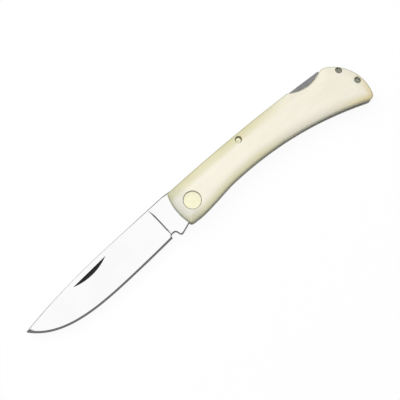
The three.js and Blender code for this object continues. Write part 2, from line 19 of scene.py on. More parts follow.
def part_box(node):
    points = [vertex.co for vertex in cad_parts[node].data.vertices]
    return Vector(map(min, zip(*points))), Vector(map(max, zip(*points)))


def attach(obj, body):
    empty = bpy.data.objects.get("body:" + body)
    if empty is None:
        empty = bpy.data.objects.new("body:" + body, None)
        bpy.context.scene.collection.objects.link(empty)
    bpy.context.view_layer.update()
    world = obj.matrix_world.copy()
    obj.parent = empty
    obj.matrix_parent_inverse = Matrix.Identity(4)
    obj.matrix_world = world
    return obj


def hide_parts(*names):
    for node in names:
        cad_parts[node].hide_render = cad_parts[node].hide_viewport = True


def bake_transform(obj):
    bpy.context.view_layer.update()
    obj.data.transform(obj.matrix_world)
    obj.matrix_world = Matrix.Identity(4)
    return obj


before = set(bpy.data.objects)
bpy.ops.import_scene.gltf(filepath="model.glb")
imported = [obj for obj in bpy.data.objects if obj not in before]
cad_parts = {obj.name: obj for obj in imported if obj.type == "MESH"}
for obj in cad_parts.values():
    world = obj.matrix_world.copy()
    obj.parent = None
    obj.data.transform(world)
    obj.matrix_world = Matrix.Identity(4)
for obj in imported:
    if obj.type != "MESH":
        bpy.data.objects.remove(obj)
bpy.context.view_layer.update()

bl_info = {
    "name": "Pocket knife",
    "version": (1, 0, 0),
    "blender": (4, 5, 0),
    "location": "3D view > Sidebar > Pocket knife",
    "description": "Builds the dressed pieces of a folding pocket knife on its fixed frame",
    "category": "Object",
}

MM = 0.001
WELD = 1e-4

# The pivot's axis, from which X and Y are counted
PIVOT = np.array([0.0, 0.0])

# Steps round circles and along the stretches of an outline
BIG_STEPS = 96
SMALL_STEPS = 48
BELLY_STEPS = (37, 100)
BUTT_STEPS = 35
NOTCH_STEPS = 25
BACK_STEPS = 112
FRONT_STEPS = 25
BAR_STEPS = 90
BLADE_STEPS = 120
RICASSO_STEPS = 40
BEVEL_STEPS = 160
PLUNGE_STEPS = 44
NICK_STEPS = 72

# Spacing of the points that fill a face, and the room that they leave to what lies beside them
STAGGER = 0.87
CROWN_SPACING = 1.6
CROWN_MARGIN = 0.8
MOUTH_MARGIN = 0.9
RING_MARGIN = 0.15
PLATE_SPACING = 1.0
PLATE_GRID = 4.0
PLATE_MARGIN = 1.2
PLATE_HOLE_MARGIN = 0.1
BLADE_SPACING = 0.8
BLADE_GRID = 1.1
BLADE_MARGIN = 0.9
HOLE_MARGIN = 0.8
SPOT_MARGIN = 0.3
ROW_MARGIN = 0.06
SPINE_MARGIN = 0.46
TANG_MARGIN = 0.5
BEVEL_MARGIN = 0.5
HEEL_MARGIN = 0.15

# Insets from an edge of the rows of points that follow it, some as shares of the edge's rounding
CROWN_RINGS = (0.05, 0.12, 0.22, 0.35, 0.52, 0.75, 1.05, 1.45, 1.95, 2.6, 3.3, 4.1, 5.0, 6.0, 6.7)
LIP_SHARES = (0.07, 0.29, 0.62, 1.0)
LIP_GAPS = (0.12, 0.7)
EDGE_SHARES = (0.13, 0.5, 1.0)
EDGE_GAP = 0.08
CORNER_INSETS = (0.02, 0.06)
SPINE_ROWS = (0.03, 0.1, 0.2, 0.35, 0.42)
NICK_ROWS = (-0.07, -0.012, 0.012)
NICK_OUTER_ROW = 0.06

# Rows of the ground side: shares of the bevel's width and of the plunge's run
BEVEL_ROWS = (0.2, 0.5, 0.8, 0.94, 1.0, 1.05)
PLUNGE_ROWS = (-0.06, 0.0, 0.05, 0.15, 0.3, 0.5, 0.75, 1.0, 1.12)
PLUNGE_TOP = 0.985

# Radii of the rings on the domed heads and in the small pins' hollows
DOME_RINGS = (3.6, 3.0, 2.4, 1.6, 0.8)
DIMPLE_RINGS = (0.35, 0.7)
DIMPLE_SHARES = (0.7, 0.1)

# Lengths that round the corners of the lock bar and the back spring, in the order of their curves
BAR_LEGS = (0.6, 0.25, 0.12, 0.12, 0.12)
SPRING_LEGS = (0.4, 0.12, 0.12, 0.0, 0.12, 0.2)

# Where a tone starts and ends on the surface, in metres: along X or Y, off an edge, or by depth
# Painted shade along the bone's rim: strong at the front, faint past this stretch of X
RIM_SHADE_X = (0.055, 0.072)
TAN_X = (0.078, 0.1)
TAN_Y = (-0.004, -0.022)
TAN_OFF_RIM = (0.0005, 0.0045)
# Painted shade under the back, fading out towards the butt
BACK_SHADE_X = (0.04, 0.08)
BACK_SHADE_OFF = (0.0028, 0.006)
# Painted shade above the belly, fading out towards the butt
BELLY_SHADE_X = (0.04, 0.06)
BELLY_SHADE_OFF = (0.0018, 0.0045)
# Painted grey-green shade over the front end, in front of the pivot
FRONT_SHADE_X = (0.003, -0.004)
# Painted shade: a narrow dark line along the bone's rim
RIM_SHADE_LINE_OFF = (0.0003, 0.0009)
# Painted shade along the tang's narrow faces, the spine and the tip: reach off the edge and along X
TANG_LINE_OFF = (0.0003, 0.0008)
SPINE_LINE_OFF = (0.0002, 0.0006)
SPINE_LINE_X = (-0.045, -0.012)
TIP_LINE_X = (-0.078, -0.092)
# Painted shade in the nick: full once the nick has any depth
NICK_SHADE_DEPTH = (0.0, 0.00002)


# Settings


def labelled(group):
    """Labels each setting of a group with the words of its own name."""
    for key, setting in group.__annotations__.items():
        setting.keywords["name"] = key.replace("_", " ").capitalize()
    return group


def length(description, millimetres):
    return FloatProperty(description=description, default=millimetres * MM, unit="LENGTH", precision=5)


def share(description, value):
    return FloatProperty(description=description, default=value, min=0.0, max=1.0, subtype="FACTOR")


def number(description, value):
    return FloatProperty(description=description, default=value)


def angle(description, degrees):
    return FloatProperty(description=description, default=math.radians(degrees), subtype="ANGLE")


def colour(description, value):
    settings = {"size": 3, "min": 0.0, "max": 1.0, "subtype": "COLOR"}
    return FloatVectorProperty(description=description, default=value, **settings)


def place(description, millimetres):
    settings = {"size": 3, "subtype": "TRANSLATION", "unit": "LENGTH"}
    return FloatVectorProperty(description=description, default=[c * MM for c in millimetres], **settings)


@labelled
class HandleSizes(PropertyGroup):
    """The handle's outline and the crown of its scales."""

    front_reach: length("From the pivot to the rounded front end", 9.1)
    front_radius: length("Radius of the front end", 27.0)
    front_centre_y: length("Height of the front arc's centre", 0.15)
    front_corner_drop: length("How far below the pivot the front corner lies", 8.0)
    back_height: length("Height of the back at its crest", 10.82)
    back_radius: length("Radius of the back's slow curve", 925.0)
    back_crest_x: length("Where the back's curve is highest", -10.8)
    butt_reach: length("From the pivot to the end of the butt", 103.7)
    butt_radius: length("Radius of the butt", 20.8)
    butt_centre_drop: length("How far below the pivot the butt's centre lies", 13.75)
    butt_corner_drop: length("How far below the pivot the lower butt corner lies", 24.0)
    waist_x: length("Where the belly line is highest", 22.3)
    waist_drop: length("How far below the pivot the waist lies", 7.14)
    belly_lead: length("Handle length of the belly curve at the front corner", 9.75)
    belly_slope: number("Slope of the belly at the front corner", 0.2)
    waist_lead_front: length("Handle length of the curve before the waist", 8.0)
    waist_lead_rear: length("Handle length of the curve after the waist", 30.9)
    butt_lead: length("Handle length of the belly curve at the butt corner", 23.4)
    butt_slope: number("Slope of the belly at the butt corner", 0.45)
    notch_inset: length("From the butt's end to the middle of the thumb notch", 21.0)
    notch_depth: length("Depth of the thumb notch below the back", 3.3)
    notch_radius: length("Radius of the thumb notch", 18.0)
    front_belly_leg: length("Length that rounds the lower front corner", 0.85)
    front_back_leg: length("Length that rounds the upper front corner", 0.65)
    butt_leg: length("Length that rounds the corners of the butt", 2.7)
    notch_leg: length("Length that rounds the notch's front corner", 0.5)
    crown_width: length("Width of the rounded band along the rim of a scale", 6.0)
    crown_height: length("How far the rim lies below the flat middle", 2.4)
    crown_foot: length("How far past the rim the crown's curve would end", 0.12)
    well_radius: length("Radius of the wells of the small pins", 1.78)
    well_lip: length("Rounding at the mouth of a well", 0.18)
    seat_radius: length("Radius of the pivot head's seat", 4.6)
    seat_lip: length("Rounding at the mouth of the pivot's seat", 0.1)
    bore_radius: length("Radius of the pivot pin's hole", 2.5)
    plate_edge: length("Rounding along the edges of liners, bar and spring", 0.1)
    pin_hole: length("Radius of a small pin's hole in liner and spring", 1.15)
    pivot_hole: length("Radius of the pivot pin's hole in liner and tang", 2.45)


@labelled
class BladeSizes(PropertyGroup):
    """The blade's outline, its ground sides, its nick and its tang."""

    tip_inset: length("How much shorter the blade is than the handle behind the pivot", 1.4)
    tip_height: length("Height of the tip above the pivot", 8.2)
    tip_blunt: length("Height of the tip's small end face", 0.4)
    tip_lead: length("Length of the spine curve's handle at the tip", 11.1)
    tip_rise: length("Rise of the spine curve's handle at the tip", 1.63)
    tip_half: length("Half thickness of the spine at the tip", 0.4)
    spine_height: length("Height of the straight spine above the pivot", 12.0)
    spine_bend_x: length("Where the spine starts to fall towards the tip", -47.3)
    spine_lead: length("Length of the spine curve's handle at the bend", 25.7)
    taper_start_x: length("Where the blade starts to thin towards the tip", -40.0)
    tang_front_x: length("Where the spine ends at the handle", -9.4)
    tang_front_height: length("Height of the tang where it enters the handle", 11.85)
    heel_x: length("Rear end of the cutting edge", -19.4)
    heel_drop: length("How far below the pivot the heel lies", 6.73)
    heel_wall: length("Height of the upright step at the heel", 1.0)
    edge_low_x: length("Where the cutting edge is lowest", -52.4)
    edge_low_drop: length("How far below the pivot the edge's lowest point lies", 7.34)
    edge_lead: length("Length of the edge curve's handle at its lowest point", 22.6)
    tip_edge_lead: length("Length of the edge curve's handle at the tip", 9.9)
    tip_edge_fall: length("Fall of the edge curve's handle at the tip", 12.6)
    edge_blunt: length("Half thickness of the cutting edge", 0.03)
    bevel_half: length("Half thickness at the bevel line", 0.3)
    bevel_width: length("Width of the cutting bevel", 1.1)
    bevel_most: share("Largest share of the blade's height that the bevel takes", 0.7)
    plunge_x: length("Where the ground side starts", -17.75)
    plunge_length: length("Length over which the plunge runs out", 1.5)
    plunge_sweep: length("How far the plunge leans forward at the spine", 0.95)
    plunge_fade: length("Length over which that lean fades", 12.0)
    grind_clear: length("How far outside the flats the plunge's curve starts", 0.3)
    kick_x: length("Where the kick stands", -14.15)
    kick_drop: length("How far below the pivot the kick reaches", 8.6)
    kick_round: length("Rounding of the kick", 1.3)
    choil_x: length("Where the choil is deepest", -17.3)
    choil_drop: length("How far below the pivot the choil's bottom lies", 5.1)
    choil_round: length("Rounding of the choil", 1.35)
    tang_foot_x: length("Where the tang's lower line starts", -8.6)
    tang_foot_drop: length("How far below the pivot that place lies", 6.9)
    tang_round_radius: length("Radius of the tang's round end", 5.85)
    tang_shoulder_x: length("Where the lock bar's nose meets the tang", -0.5)
    nick_x: length("Middle of the nail nick", -60.3)
    nick_y: length("Height of the nick's upper edge", 8.95)
    nick_length: length("Length of the nick's upper edge", 21.8)
    nick_drop: length("Width of the nick at its middle", 2.2)
    nick_depth: length("Depth of the nick under its upper edge", 0.75)
    nick_turn: angle("Slope of the nick's upper edge", 1.7)
    spine_round: length("Rounding along the spine's corners", 0.35)
    tang_round: length("Rounding along the tang's corners", 0.25)


@labelled
class SpringSizes(PropertyGroup):
    """The lock bar and the back spring."""

    lock_gap: length("Room round the lock bar's nose and tail", 0.3)
    nose_length: length("Length of the lock bar's nose", 6.0)
    nose_ramp: length("Length of the slope behind the nose", 1.5)
    bar_depth: length("Depth of the bar below the back", 3.35)
    tail_depth: length("Depth of the bar below the back at its tail", 3.9)
    rocker_drop: length("How far below the back the rocker pin sits", 3.35)
    rocker_wall: length("Metal round the rocker pin's hole", 1.6)
    eye_blend: length("Length over which the rocker's eye fades into the bar", 18.0)
    rock_angle: angle("How far the bar rocks", 3.0)
    tail_inset: length("From the butt's end to the bar's tail", 13.1)
    tongue_length: length("Length of the spring's tongue", 33.1)
    tongue_tip: length("Thickness of the tongue at its tip", 0.9)
    tongue_root: length("Thickness of the tongue at its root", 1.7)
    spring_end_drop: length("How far below the pivot the spring's block ends", 14.6)
    spring_wall: length("Metal round the spring's pins", 2.64)


@labelled
class PinSizes(PropertyGroup):
    """The pivot's heads and the small pins."""

    head_dome: length("How far the middle of a pivot head stands above its rim", 0.05)
    head_round: length("Rounding along the rim of a pivot head", 0.2)
    pin_end_radius: length("Radius of the pivot pin's peened end", 2.4)
    pin_end_round: length("Rounding along the rim of that end", 0.2)
    small_radius: length("Radius of a small pin's shank", 1.1)
    small_head: length("Radius of a small pin's head", 1.35)
    small_round: length("Rounding along the rim of a small head", 0.14)
    small_dimple: length("Depth of the hollow in a small head", 0.03)


@labelled
class Finishes(PropertyGroup):
    """Colours and gloss of the knife's materials, with the colours of the shade painted on the bone and the
    blade.
    """

    ivory: colour("Colour of the polished bone", (0.925, 0.885, 0.755))
    marrow: colour("Colour of the darker streaks in the bone", (0.80, 0.73, 0.54))
    # Painted shade: the bone's rim darkens and yellows, as if its slopes were out of the light
    rim_tint: colour("Colour of the bone along its thin rim", (0.74, 0.70, 0.50))
    tan: colour("Tint of the bone along the lower butt", (1.0, 0.91, 0.63))
    # Painted shade: the bone darkens under the back
    back_tint: colour("Tint of the bone under the back", (0.85, 0.84, 0.68))
    # Painted shade: the bone darkens and yellows above the belly
    belly_tint: colour("Tint of the bone above the belly", (0.96, 0.96, 0.82))
    # Painted shade: a narrow dark line along the rim, standing in for the shaded side wall
    rim_line: colour("Tint of the narrow line along the rim", (0.72, 0.74, 0.66))
    # Painted shade: the bone turns grey-green over the front end
    front_tint: colour("Tint of the bone at the front end", (0.86, 0.89, 0.92))
    blade: colour("Colour of the mirror-polished blade", (0.97, 0.97, 0.97))
    # Painted shade: the narrow faces of the tang and the spine are darkened, standing in for the shaded floor
    # they reflect
    unpolished: colour("Colour of the edges of the tang and the spine", (0.3, 0.3, 0.3))
    # Painted shade: the nick's floor is darkened near black, where it would reflect dark
    nick_floor: colour("Colour of the struck floor of the nick", (0.15, 0.15, 0.15))
    satin: colour("Colour of the lock bar and the back spring", (0.6, 0.6, 0.615))
    liner: colour("Colour of the liners", (0.46, 0.45, 0.41))
    brass: colour("Colour of the pivot heads and the rocker pin", (0.99, 0.965, 0.70))
    pin: colour("Colour of the butt pins", (0.69, 0.71, 0.62))
    bone_roughness: share("Roughness of the polished bone", 0.28)
    blade_roughness: share("Roughness of the polished blade", 0.07)
    satin_roughness: share("Roughness of the bar, spring and liners", 0.36)
    brass_roughness: share("Roughness of the brass", 0.13)


@labelled
class StageSettings(PropertyGroup):
    """Floor, light and camera."""

    floor_size: length("Width of the floor", 6000.0)
    floor_light: share("Share of the floor's white that shadows don't darken", 0.93)
    floor_dark: share("How much light the floor returns to the knife", 0.3)
    floor_mirrored: share("Colour of the floor as polished metal shows it", 0.9)
    sky_level: share("Even light from all round", 0.34)
    sky_low: share("Even light from near the horizon", 0.2)
    band_level: share("Brightness of the dark band that polished metal reflects", 0.16)
    band_top: angle("From overhead to the middle of the band's upper border", 14.5)
    band_top_soft: angle("Half the width of that border", 2.5)
    band_foot: angle("From overhead to the middle of the band's lower border", 63.0)
    band_foot_soft: angle("Half the width of that border", 5.0)
    lamp_size: length("Width of the lamp overhead", 700.0)
    lamp_place: place("Where the lamp hangs", (-10.0, 260.0, 640.0))
    lamp_power: number("Power of the lamp in watts", 4.6)
    camera_place: place("Where the camera stands", (-44.27, -52.69, 501.4))
    camera_target: place("What the camera looks at", (3.29, -1.94, 6.3))
    camera_turn: angle("Turn of the picture's right side from X", -42.98)
    lens: number("Focal length in millimetres", 91.2)


def in_millimetres(group):
    """The group's settings as plain values, lengths in millimetres."""
    values = {}
    for key, prop in group.bl_rna.properties.items():
        if key in {"rna_type", "name"}:
            continue
        value = getattr(group, key)
        if prop.unit == "LENGTH":
            value = np.array(value) / MM if prop.is_array else value / MM
        values[key] = value
    return SimpleNamespace(**values)


def handle_sizes():
    return in_millimetres(bpy.context.scene.knife_handle)


def blade_sizes():
    return in_millimetres(bpy.context.scene.knife_blade)


def spring_sizes():
    return in_millimetres(bpy.context.scene.knife_spring)


def pin_sizes():
    return in_millimetres(bpy.context.scene.knife_pins)


# The frame in millimetres


def levels(node):
    low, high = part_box(node)
    return low.z / MM, high.z / MM


def centre_of(node):
    low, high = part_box(node)
    return np.array([(low.x + high.x) / 2, (low.y + high.y) / 2]) / MM


def placed(piece, node, body="handle"):
    """Tells the frame which body the piece rides on, which node it replaces."""
    if body:
        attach(piece, body)
    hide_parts(node)
    return piece


def middle_z():
    low, high = levels("blade")
    return (low + high) / 2


# Curves in the plane


def bezier(points, steps):
    points = np.array(points, float)
    degree = len(points) - 1
    t = np.linspace(0, 1, steps + 1)[:, None]
    terms = [math.comb(degree, i) * t**i * (1 - t) ** (degree - i) * points[i] for i in range(degree + 1)]
    return sum(terms)


def arc(centre, radius, start, end, steps, clockwise=False):
    a = math.atan2(start[1] - centre[1], start[0] - centre[0])
    b = math.atan2(end[1] - centre[1], end[0] - centre[0])
    if clockwise and b > a:
        b -= 2 * math.pi
    if not clockwise and b < a:
        b += 2 * math.pi
    turns = np.linspace(a, b, steps + 1)
    return np.column_stack([centre[0] + radius * np.cos(turns), centre[1] + radius * np.sin(turns)])


def circle(centre, radius, steps):
    turns = np.linspace(0, 2 * math.pi, steps, endpoint=False)
    return np.column_stack([centre[0] + radius * np.cos(turns), centre[1] + radius * np.sin(turns)])


def circles_cross(centre_a, radius_a, centre_b, radius_b, side):
    across = np.subtract(centre_b, centre_a)
    distance = np.linalg.norm(across)
    along = (radius_a**2 - radius_b**2 + distance**2) / (2 * distance)
    off = math.sqrt(radius_a**2 - along**2) * side
    unit = across / distance
    return np.array(centre_a) + unit * along + np.array([-unit[1], unit[0]]) * off


def along_curve(curve):
    steps = np.linalg.norm(np.diff(curve, axis=0), axis=1)
    return np.concatenate([[0], np.cumsum(steps)])


def point_at(curve, along, distance):
    return np.array([np.interp(distance, along, curve[:, k]) for k in (0, 1)])


def trimmed(curve, start, end):
    """The curve without a stretch at either end."""
    along = along_curve(curve)
    last = along[-1] - end
    keep = (along > start + WELD) & (along < last - WELD)
    return np.vstack([point_at(curve, along, start), curve[keep], point_at(curve, along, last)])


def rounded_loop(curves, legs, steps=6):
    """A closed loop of curves, with the corner after each curve rounded over its leg."""
    cut = [trimmed(curve, legs[i - 1], legs[i]) for i, curve in enumerate(curves)]
    parts = []
    for i, curve in enumerate(cut):
        following = cut[(i + 1) % len(cut)]
        parts.append(curve)
        if legs[i] > 0:
            parts.append(bezier([curve[-1], curves[i][-1], following[0]], steps)[1:-1])
    loop = np.vstack(parts)
    apart = np.linalg.norm(loop - np.roll(loop, 1, axis=0), axis=1)
    return loop[apart > 100 * WELD]


def line(start, end, steps):
    return np.linspace(start, end, steps + 1)


def evened(curve, spacing):
    """The curve with points added where they are further apart than the spacing."""
    parts = [curve[:1]]
    for a, b in zip(curve[:-1], curve[1:]):
        steps = max(1, math.ceil(np.linalg.norm(b - a) / spacing))
        parts.append(line(a, b, steps)[1:])
    return np.vstack(parts)


def evened_loop(loop, spacing):
    return evened(np.vstack([loop, loop[:1]]), spacing)[:-1]


def inward(loop):
    ahead = np.roll(loop, -1, axis=0) - loop
    behind = loop - np.roll(loop, 1, axis=0)
    ahead /= np.linalg.norm(ahead, axis=1)[:, None]
    behind /= np.linalg.norm(behind, axis=1)[:, None]
    along = ahead + behind
    along /= np.linalg.norm(along, axis=1)[:, None]
    return np.column_stack([-along[:, 1], along[:, 0]])


def distance_to(points, curve, closed=True):
    """Distance of each point from a curve."""
    starts = curve if closed else curve[:-1]
    ends = np.roll(curve, -1, axis=0) if closed else curve[1:]
    edges = ends - starts
    lengths = np.maximum((edges**2).sum(1), WELD**2)
    nearest = np.full(len(points), np.inf)
    for start, edge, square in zip(starts, edges, lengths):
        off = points - start
        t = np.clip((off @ edge) / square, 0, 1)
        gap = off - t[:, None] * edge
        nearest = np.minimum(nearest, (gap**2).sum(1))
    return np.sqrt(nearest)


def off_curve(curve, closed=True):
    """A value for each point of a piece: how far it lies from the curve in plan, in metres."""

    def away(points):
        return distance_to(points[:, :2], curve, closed) * MM

    return away


def inside(points, loop):
    x, y = points[:, 0], points[:, 1]
    result = np.zeros(len(points), bool)
    for (ax, ay), (bx, by) in zip(loop, np.roll(loop, -1, axis=0)):
        crosses = (ay > y) != (by > y)
        if ay != by:
            result ^= crosses & (x < (bx - ax) * (y - ay) / (by - ay) + ax)
    return result


# Closed shells


class Shell:
    """Points and faces of one closed piece, gathered in millimetres and welded when it is made."""

    def __init__(self):
        self.points = []
        self.faces = []
        self.count = 0

    def add(self, points, faces):
        self.points.append(np.asarray(points, float))
        self.faces.extend([tuple(i + self.count for i in face) for face in faces])
        self.count += len(points)

    def wall(self, ring_a, ring_b):
        """A closed band of faces between two rings of equally many points."""
        n = len(ring_a)
        faces = [(i, (i + 1) % n, n + (i + 1) % n, n + i) for i in range(n)]
        self.add(np.vstack([ring_a, ring_b]), faces)

    def cap(self, ring, tip):
        n = len(ring)
        self.add(np.vstack([ring, [tip]]), [(i, (i + 1) % n, n) for i in range(n)])

    def make(self, name, material, attributes=None, sharp=35.0):
        """The piece as an object, with its named values stored on its points."""
        points = np.vstack(self.points)
        cells = np.round(points / WELD).astype(np.int64)
        _, first, index = np.unique(cells, axis=0, return_index=True, return_inverse=True)
        index = index.ravel()
        faces = {}
        for face in self.faces:
            corners = []
            for i in face:
                if index[i] not in corners:
                    corners.append(int(index[i]))
            if len(corners) > 2:
                faces[tuple(sorted(corners))] = corners
        points = points[first]
        mesh = bpy.data.meshes.new(name)
        mesh.from_pydata((points * MM).tolist(), [], list(faces.values()))
        edit = bmesh.new()
        edit.from_mesh(mesh)
        bmesh.ops.recalc_face_normals(edit, faces=edit.faces)
        open_edges = [edge for edge in edit.edges if len(edge.link_faces) != 2]
        places = [tuple(round(c / MM, 4) for c in edge.verts[0].co) for edge in open_edges[:6]]
        edit.to_mesh(mesh)
        edit.free()
        if places:
            raise RuntimeError(f"{name} is not closed at {places}")
        for key, value_of in (attributes or {}).items():
            layer = mesh.attributes.new(key, "FLOAT", "POINT")
            layer.data.foreach_set("value", np.asarray(value_of(points), np.float32))
        mesh.shade_smooth()
        mesh.set_sharp_from_angle(angle=math.radians(sharp))
        mesh.materials.append(material)
        piece = bpy.data.objects.new(name, mesh)
        bpy.context.scene.collection.objects.link(piece)
        return piece


def triangulated(loop, holes=(), rows=(), spots=()):
    """Points and triangles that fill a loop, less its holes, with rows kept as edges."""
    points = [np.asarray(loop)]
    edges = [(i, (i + 1) % len(loop)) for i in range(len(loop))]
    count = len(loop)
    for hole in holes:
        points.append(hole)
        edges += [(count + i, count + (i + 1) % len(hole)) for i in range(len(hole))]
        count += len(hole)
    for row in rows:
        points.append(row)
        edges += [(count + i, count + i + 1) for i in range(len(row) - 1)]
        count += len(row)
    if len(spots):
        points.append(np.asarray(spots))
    exact = np.vstack(points)
    found, _, faces, given, _, _ = delaunay_2d_cdt([Vector(p) for p in exact], edges, [], 1, WELD / 10)
    corners = np.array([exact[ids[0]] if ids else tuple(point) for point, ids in zip(found, given)])
    middles = np.array([corners[list(face)].mean(0) for face in faces])
    keep = np.ones(len(faces), bool)
    for hole in holes:
        keep &= ~inside(middles, hole)
    return corners, [tuple(face) for face, kept in zip(faces, keep) if kept]


def broken_rows(row, fair):
    """The stretches of a row whose points are fair."""
    rows = []
    run = []
    for point, good in zip(row, fair):
        if good:
            run.append(point)
            continue
        if len(run) > 1:
            rows.append(np.array(run))
        run = []
    if len(run) > 1:
        rows.append(np.array(run))
    return rows


def ring_rows(loop, insets, others=()):
    """Rows that follow the loop at each inset, broken where the loop's other parts come closer."""
    normals = inward(loop)
    rows = []
    for inset in insets:
        ring = loop + normals * inset
        fair = distance_to(ring, loop) > inset * 0.995 - 0.002
        fair &= inside(ring, loop)
        for centre, radius in others:
            fair &= np.linalg.norm(ring - centre, axis=1) > radius
        rows += broken_rows(np.vstack([ring, ring[:1]]), np.append(fair, fair[0]))
    return rows


def grid_spots(loop, spacing, margin, others=()):
    """A staggered grid of points inside the loop, away from its rim and from round places."""
    low, high = loop.min(0), loop.max(0)
    rows = np.arange(low[1], high[1], spacing * STAGGER)
    spots = []
    for i, y in enumerate(rows):
        x = np.arange(low[0] + (i % 2) * spacing / 2, high[0], spacing)
        spots.append(np.column_stack([x, np.full(len(x), y)]))
    spots = np.vstack(spots)
    keep = inside(spots, loop) & (distance_to(spots, loop) > margin)
    for centre, radius in others:
        keep &= np.linalg.norm(spots - centre, axis=1) > radius
    return spots[keep]


def rounding(distance, radius):
    """Drop of a quarter round of that radius at a distance from its edge."""
    short = np.clip(radius - distance, 0, radius)
    return radius - np.sqrt(radius**2 - short**2)


def raised(points, height):
    """Points in the plane brought to a height, which is one number or one for each point."""
    return np.column_stack([points, np.broadcast_to(height, len(points))])


def round_rings(centre, radius, lip, steps):
    """Rings round a hole, close together over its rounded lip."""
    gaps = [lip * part for part in LIP_SHARES] + [lip + gap for gap in LIP_GAPS]
    return [circle(centre, radius + gap, steps) for gap in gaps]


def closed_rows(rings, loop):
    """Rings as rows, broken where they leave the loop."""
    rows = []
    for ring in rings:
        ring = np.vstack([ring, ring[:1]])
        rows += broken_rows(ring, inside(ring, loop) & (distance_to(ring, loop) > RING_MARGIN))
    return rows


# The handle's outline


def back_y(x):
    h = handle_sizes()
    return h.back_height - h.back_radius + np.sqrt(h.back_radius**2 - (x - h.back_crest_x) ** 2)


def butt_centre():
    h = handle_sizes()
    return np.array([h.butt_reach - h.butt_radius, -h.butt_centre_drop])


def notch_centre():
    h = handle_sizes()
    x = h.butt_reach - h.notch_inset
    return np.array([x, back_y(x) - h.notch_depth + h.notch_radius])


def handle_loop():
    """The handle's outline, anticlockwise from the lower front corner."""
    h = handle_sizes()
    front = np.array([h.front_radius - h.front_reach, h.front_centre_y])
    back = np.array([h.back_crest_x, h.back_height - h.back_radius])
    butt, notch = butt_centre(), notch_centre()
    front_top = circles_cross(front, h.front_radius, back, h.back_radius, -1)
    butt_top = circles_cross(notch, h.notch_radius, butt, h.butt_radius, 1)
    notch_front = circles_cross(notch, h.notch_radius, back, h.back_radius, -1)
    front_down = h.front_corner_drop + h.front_centre_y
    front_low = np.array([front[0] - math.sqrt(h.front_radius**2 - front_down**2), -h.front_corner_drop])
    butt_down = h.butt_corner_drop - h.butt_centre_drop
    butt_low = np.array([butt[0] + math.sqrt(h.butt_radius**2 - butt_down**2), -h.butt_corner_drop])
    waist = np.array([h.waist_x, -h.waist_drop])
    belly_off = front_low + [h.belly_lead, -h.belly_lead * h.belly_slope]
    belly_on = butt_low + [-h.butt_lead, h.butt_lead * h.butt_slope]
    belly_front = bezier([front_low, belly_off, waist - [h.waist_lead_front, 0], waist], BELLY_STEPS[0])
    belly_rear = bezier([waist, waist + [h.waist_lead_rear, 0], belly_on, butt_low], BELLY_STEPS[1])
    curves = [
        np.vstack([belly_front, belly_rear[1:]]),
        arc(butt, h.butt_radius, butt_low, butt_top, BUTT_STEPS),
        arc(notch, h.notch_radius, butt_top, notch_front, NOTCH_STEPS, clockwise=True),
        arc(back, h.back_radius, notch_front, front_top, BACK_STEPS),
        arc(front, h.front_radius, front_top, front_low, FRONT_STEPS),
    ]
    legs = [h.butt_leg, h.butt_leg, h.notch_leg, h.front_back_leg, h.front_belly_leg]
    return rounded_loop(curves, legs)


def small_pins():
    return [centre_of(node) for node in ("rocker_pin", "butt_pin_upper", "butt_pin_lower")]


# Scales


def crown_drop(distance):
    h = handle_sizes()
    part = np.clip(h.crown_width - distance, 0, None) / (h.crown_width + h.crown_foot)
    return h.crown_height * (1 - np.sqrt(1 - part**2))


def scale_shell(name, node, facing):
    """One scale: crowned outside, flat inside, with the pivot's seat and the small pins' wells."""
    h = handle_sizes()
    low, high = levels(node)
    inner, outer = (low, high) if facing > 0 else (high, low)
    loop = handle_loop()
    seat_depth = levels("front_pivot_head")[1] - seat_level()
    wells = [(pin, h.well_radius, h.well_lip, SMALL_STEPS) for pin in small_pins()]
    mouths = [(PIVOT, h.seat_radius, h.seat_lip, BIG_STEPS), *wells]

    def outer_height(points):
        drop = crown_drop(distance_to(points, loop))
        for centre, radius, lip, _ in mouths:
            drop = drop + rounding(np.linalg.norm(points - centre, axis=1) - radius, lip)
        return outer - facing * drop

    keep_out = [(centre, radius + lip + MOUTH_MARGIN) for centre, radius, lip, _ in mouths]
    rows = ring_rows(loop, CROWN_RINGS, keep_out)
    for centre, radius, lip, steps in mouths:
        rows += closed_rows(round_rings(centre, radius, lip, steps), loop)
    holes = [circle(centre, radius, steps) for centre, radius, _, steps in mouths]
    spots = grid_spots(loop, CROWN_SPACING, CROWN_RINGS[-1] + CROWN_MARGIN, keep_out)
    shell = Shell()
    corners, faces = triangulated(loop, holes, rows, spots)
    shell.add(raised(corners, outer_height(corners)), faces)
    inner_holes = [circle(PIVOT, h.bore_radius, BIG_STEPS)]
    inner_holes += [circle(pin, h.well_radius, SMALL_STEPS) for pin in small_pins()]
    corners, faces = triangulated(loop, inner_holes)
    shell.add(raised(corners, inner), faces)
    shell.wall(raised(loop, outer_height(loop)), raised(loop, inner))
    for (pin, radius, _, steps), hole in zip(wells, holes[1:]):
        shell.wall(raised(hole, outer_height(hole)), raised(hole, inner))
    seat = outer - facing * seat_depth
    mouth, bore = holes[0], inner_holes[0]
    shell.wall(raised(mouth, outer_height(mouth)), raised(mouth, seat))
    shell.wall(raised(mouth, seat), raised(bore, seat))
    shell.wall(raised(bore, seat), raised(bore, inner))

    def below_back(points):
        return (back_y(points[:, 0]) - points[:, 1]) * MM

    def above_belly(points):
        belly = loop[: int(np.argmax(loop[:, 0]))]
        return (points[:, 1] - np.interp(points[:, 0], belly[:, 0], belly[:, 1])) * MM

    values = {"rim": off_curve(loop), "below_back": below_back, "above_belly": above_belly}
    return placed(shell.make(name, bone_finish(), values), node)


def seat_level():
    return levels("front_pivot_head")[0]


# Plates: liners, lock bar and back spring


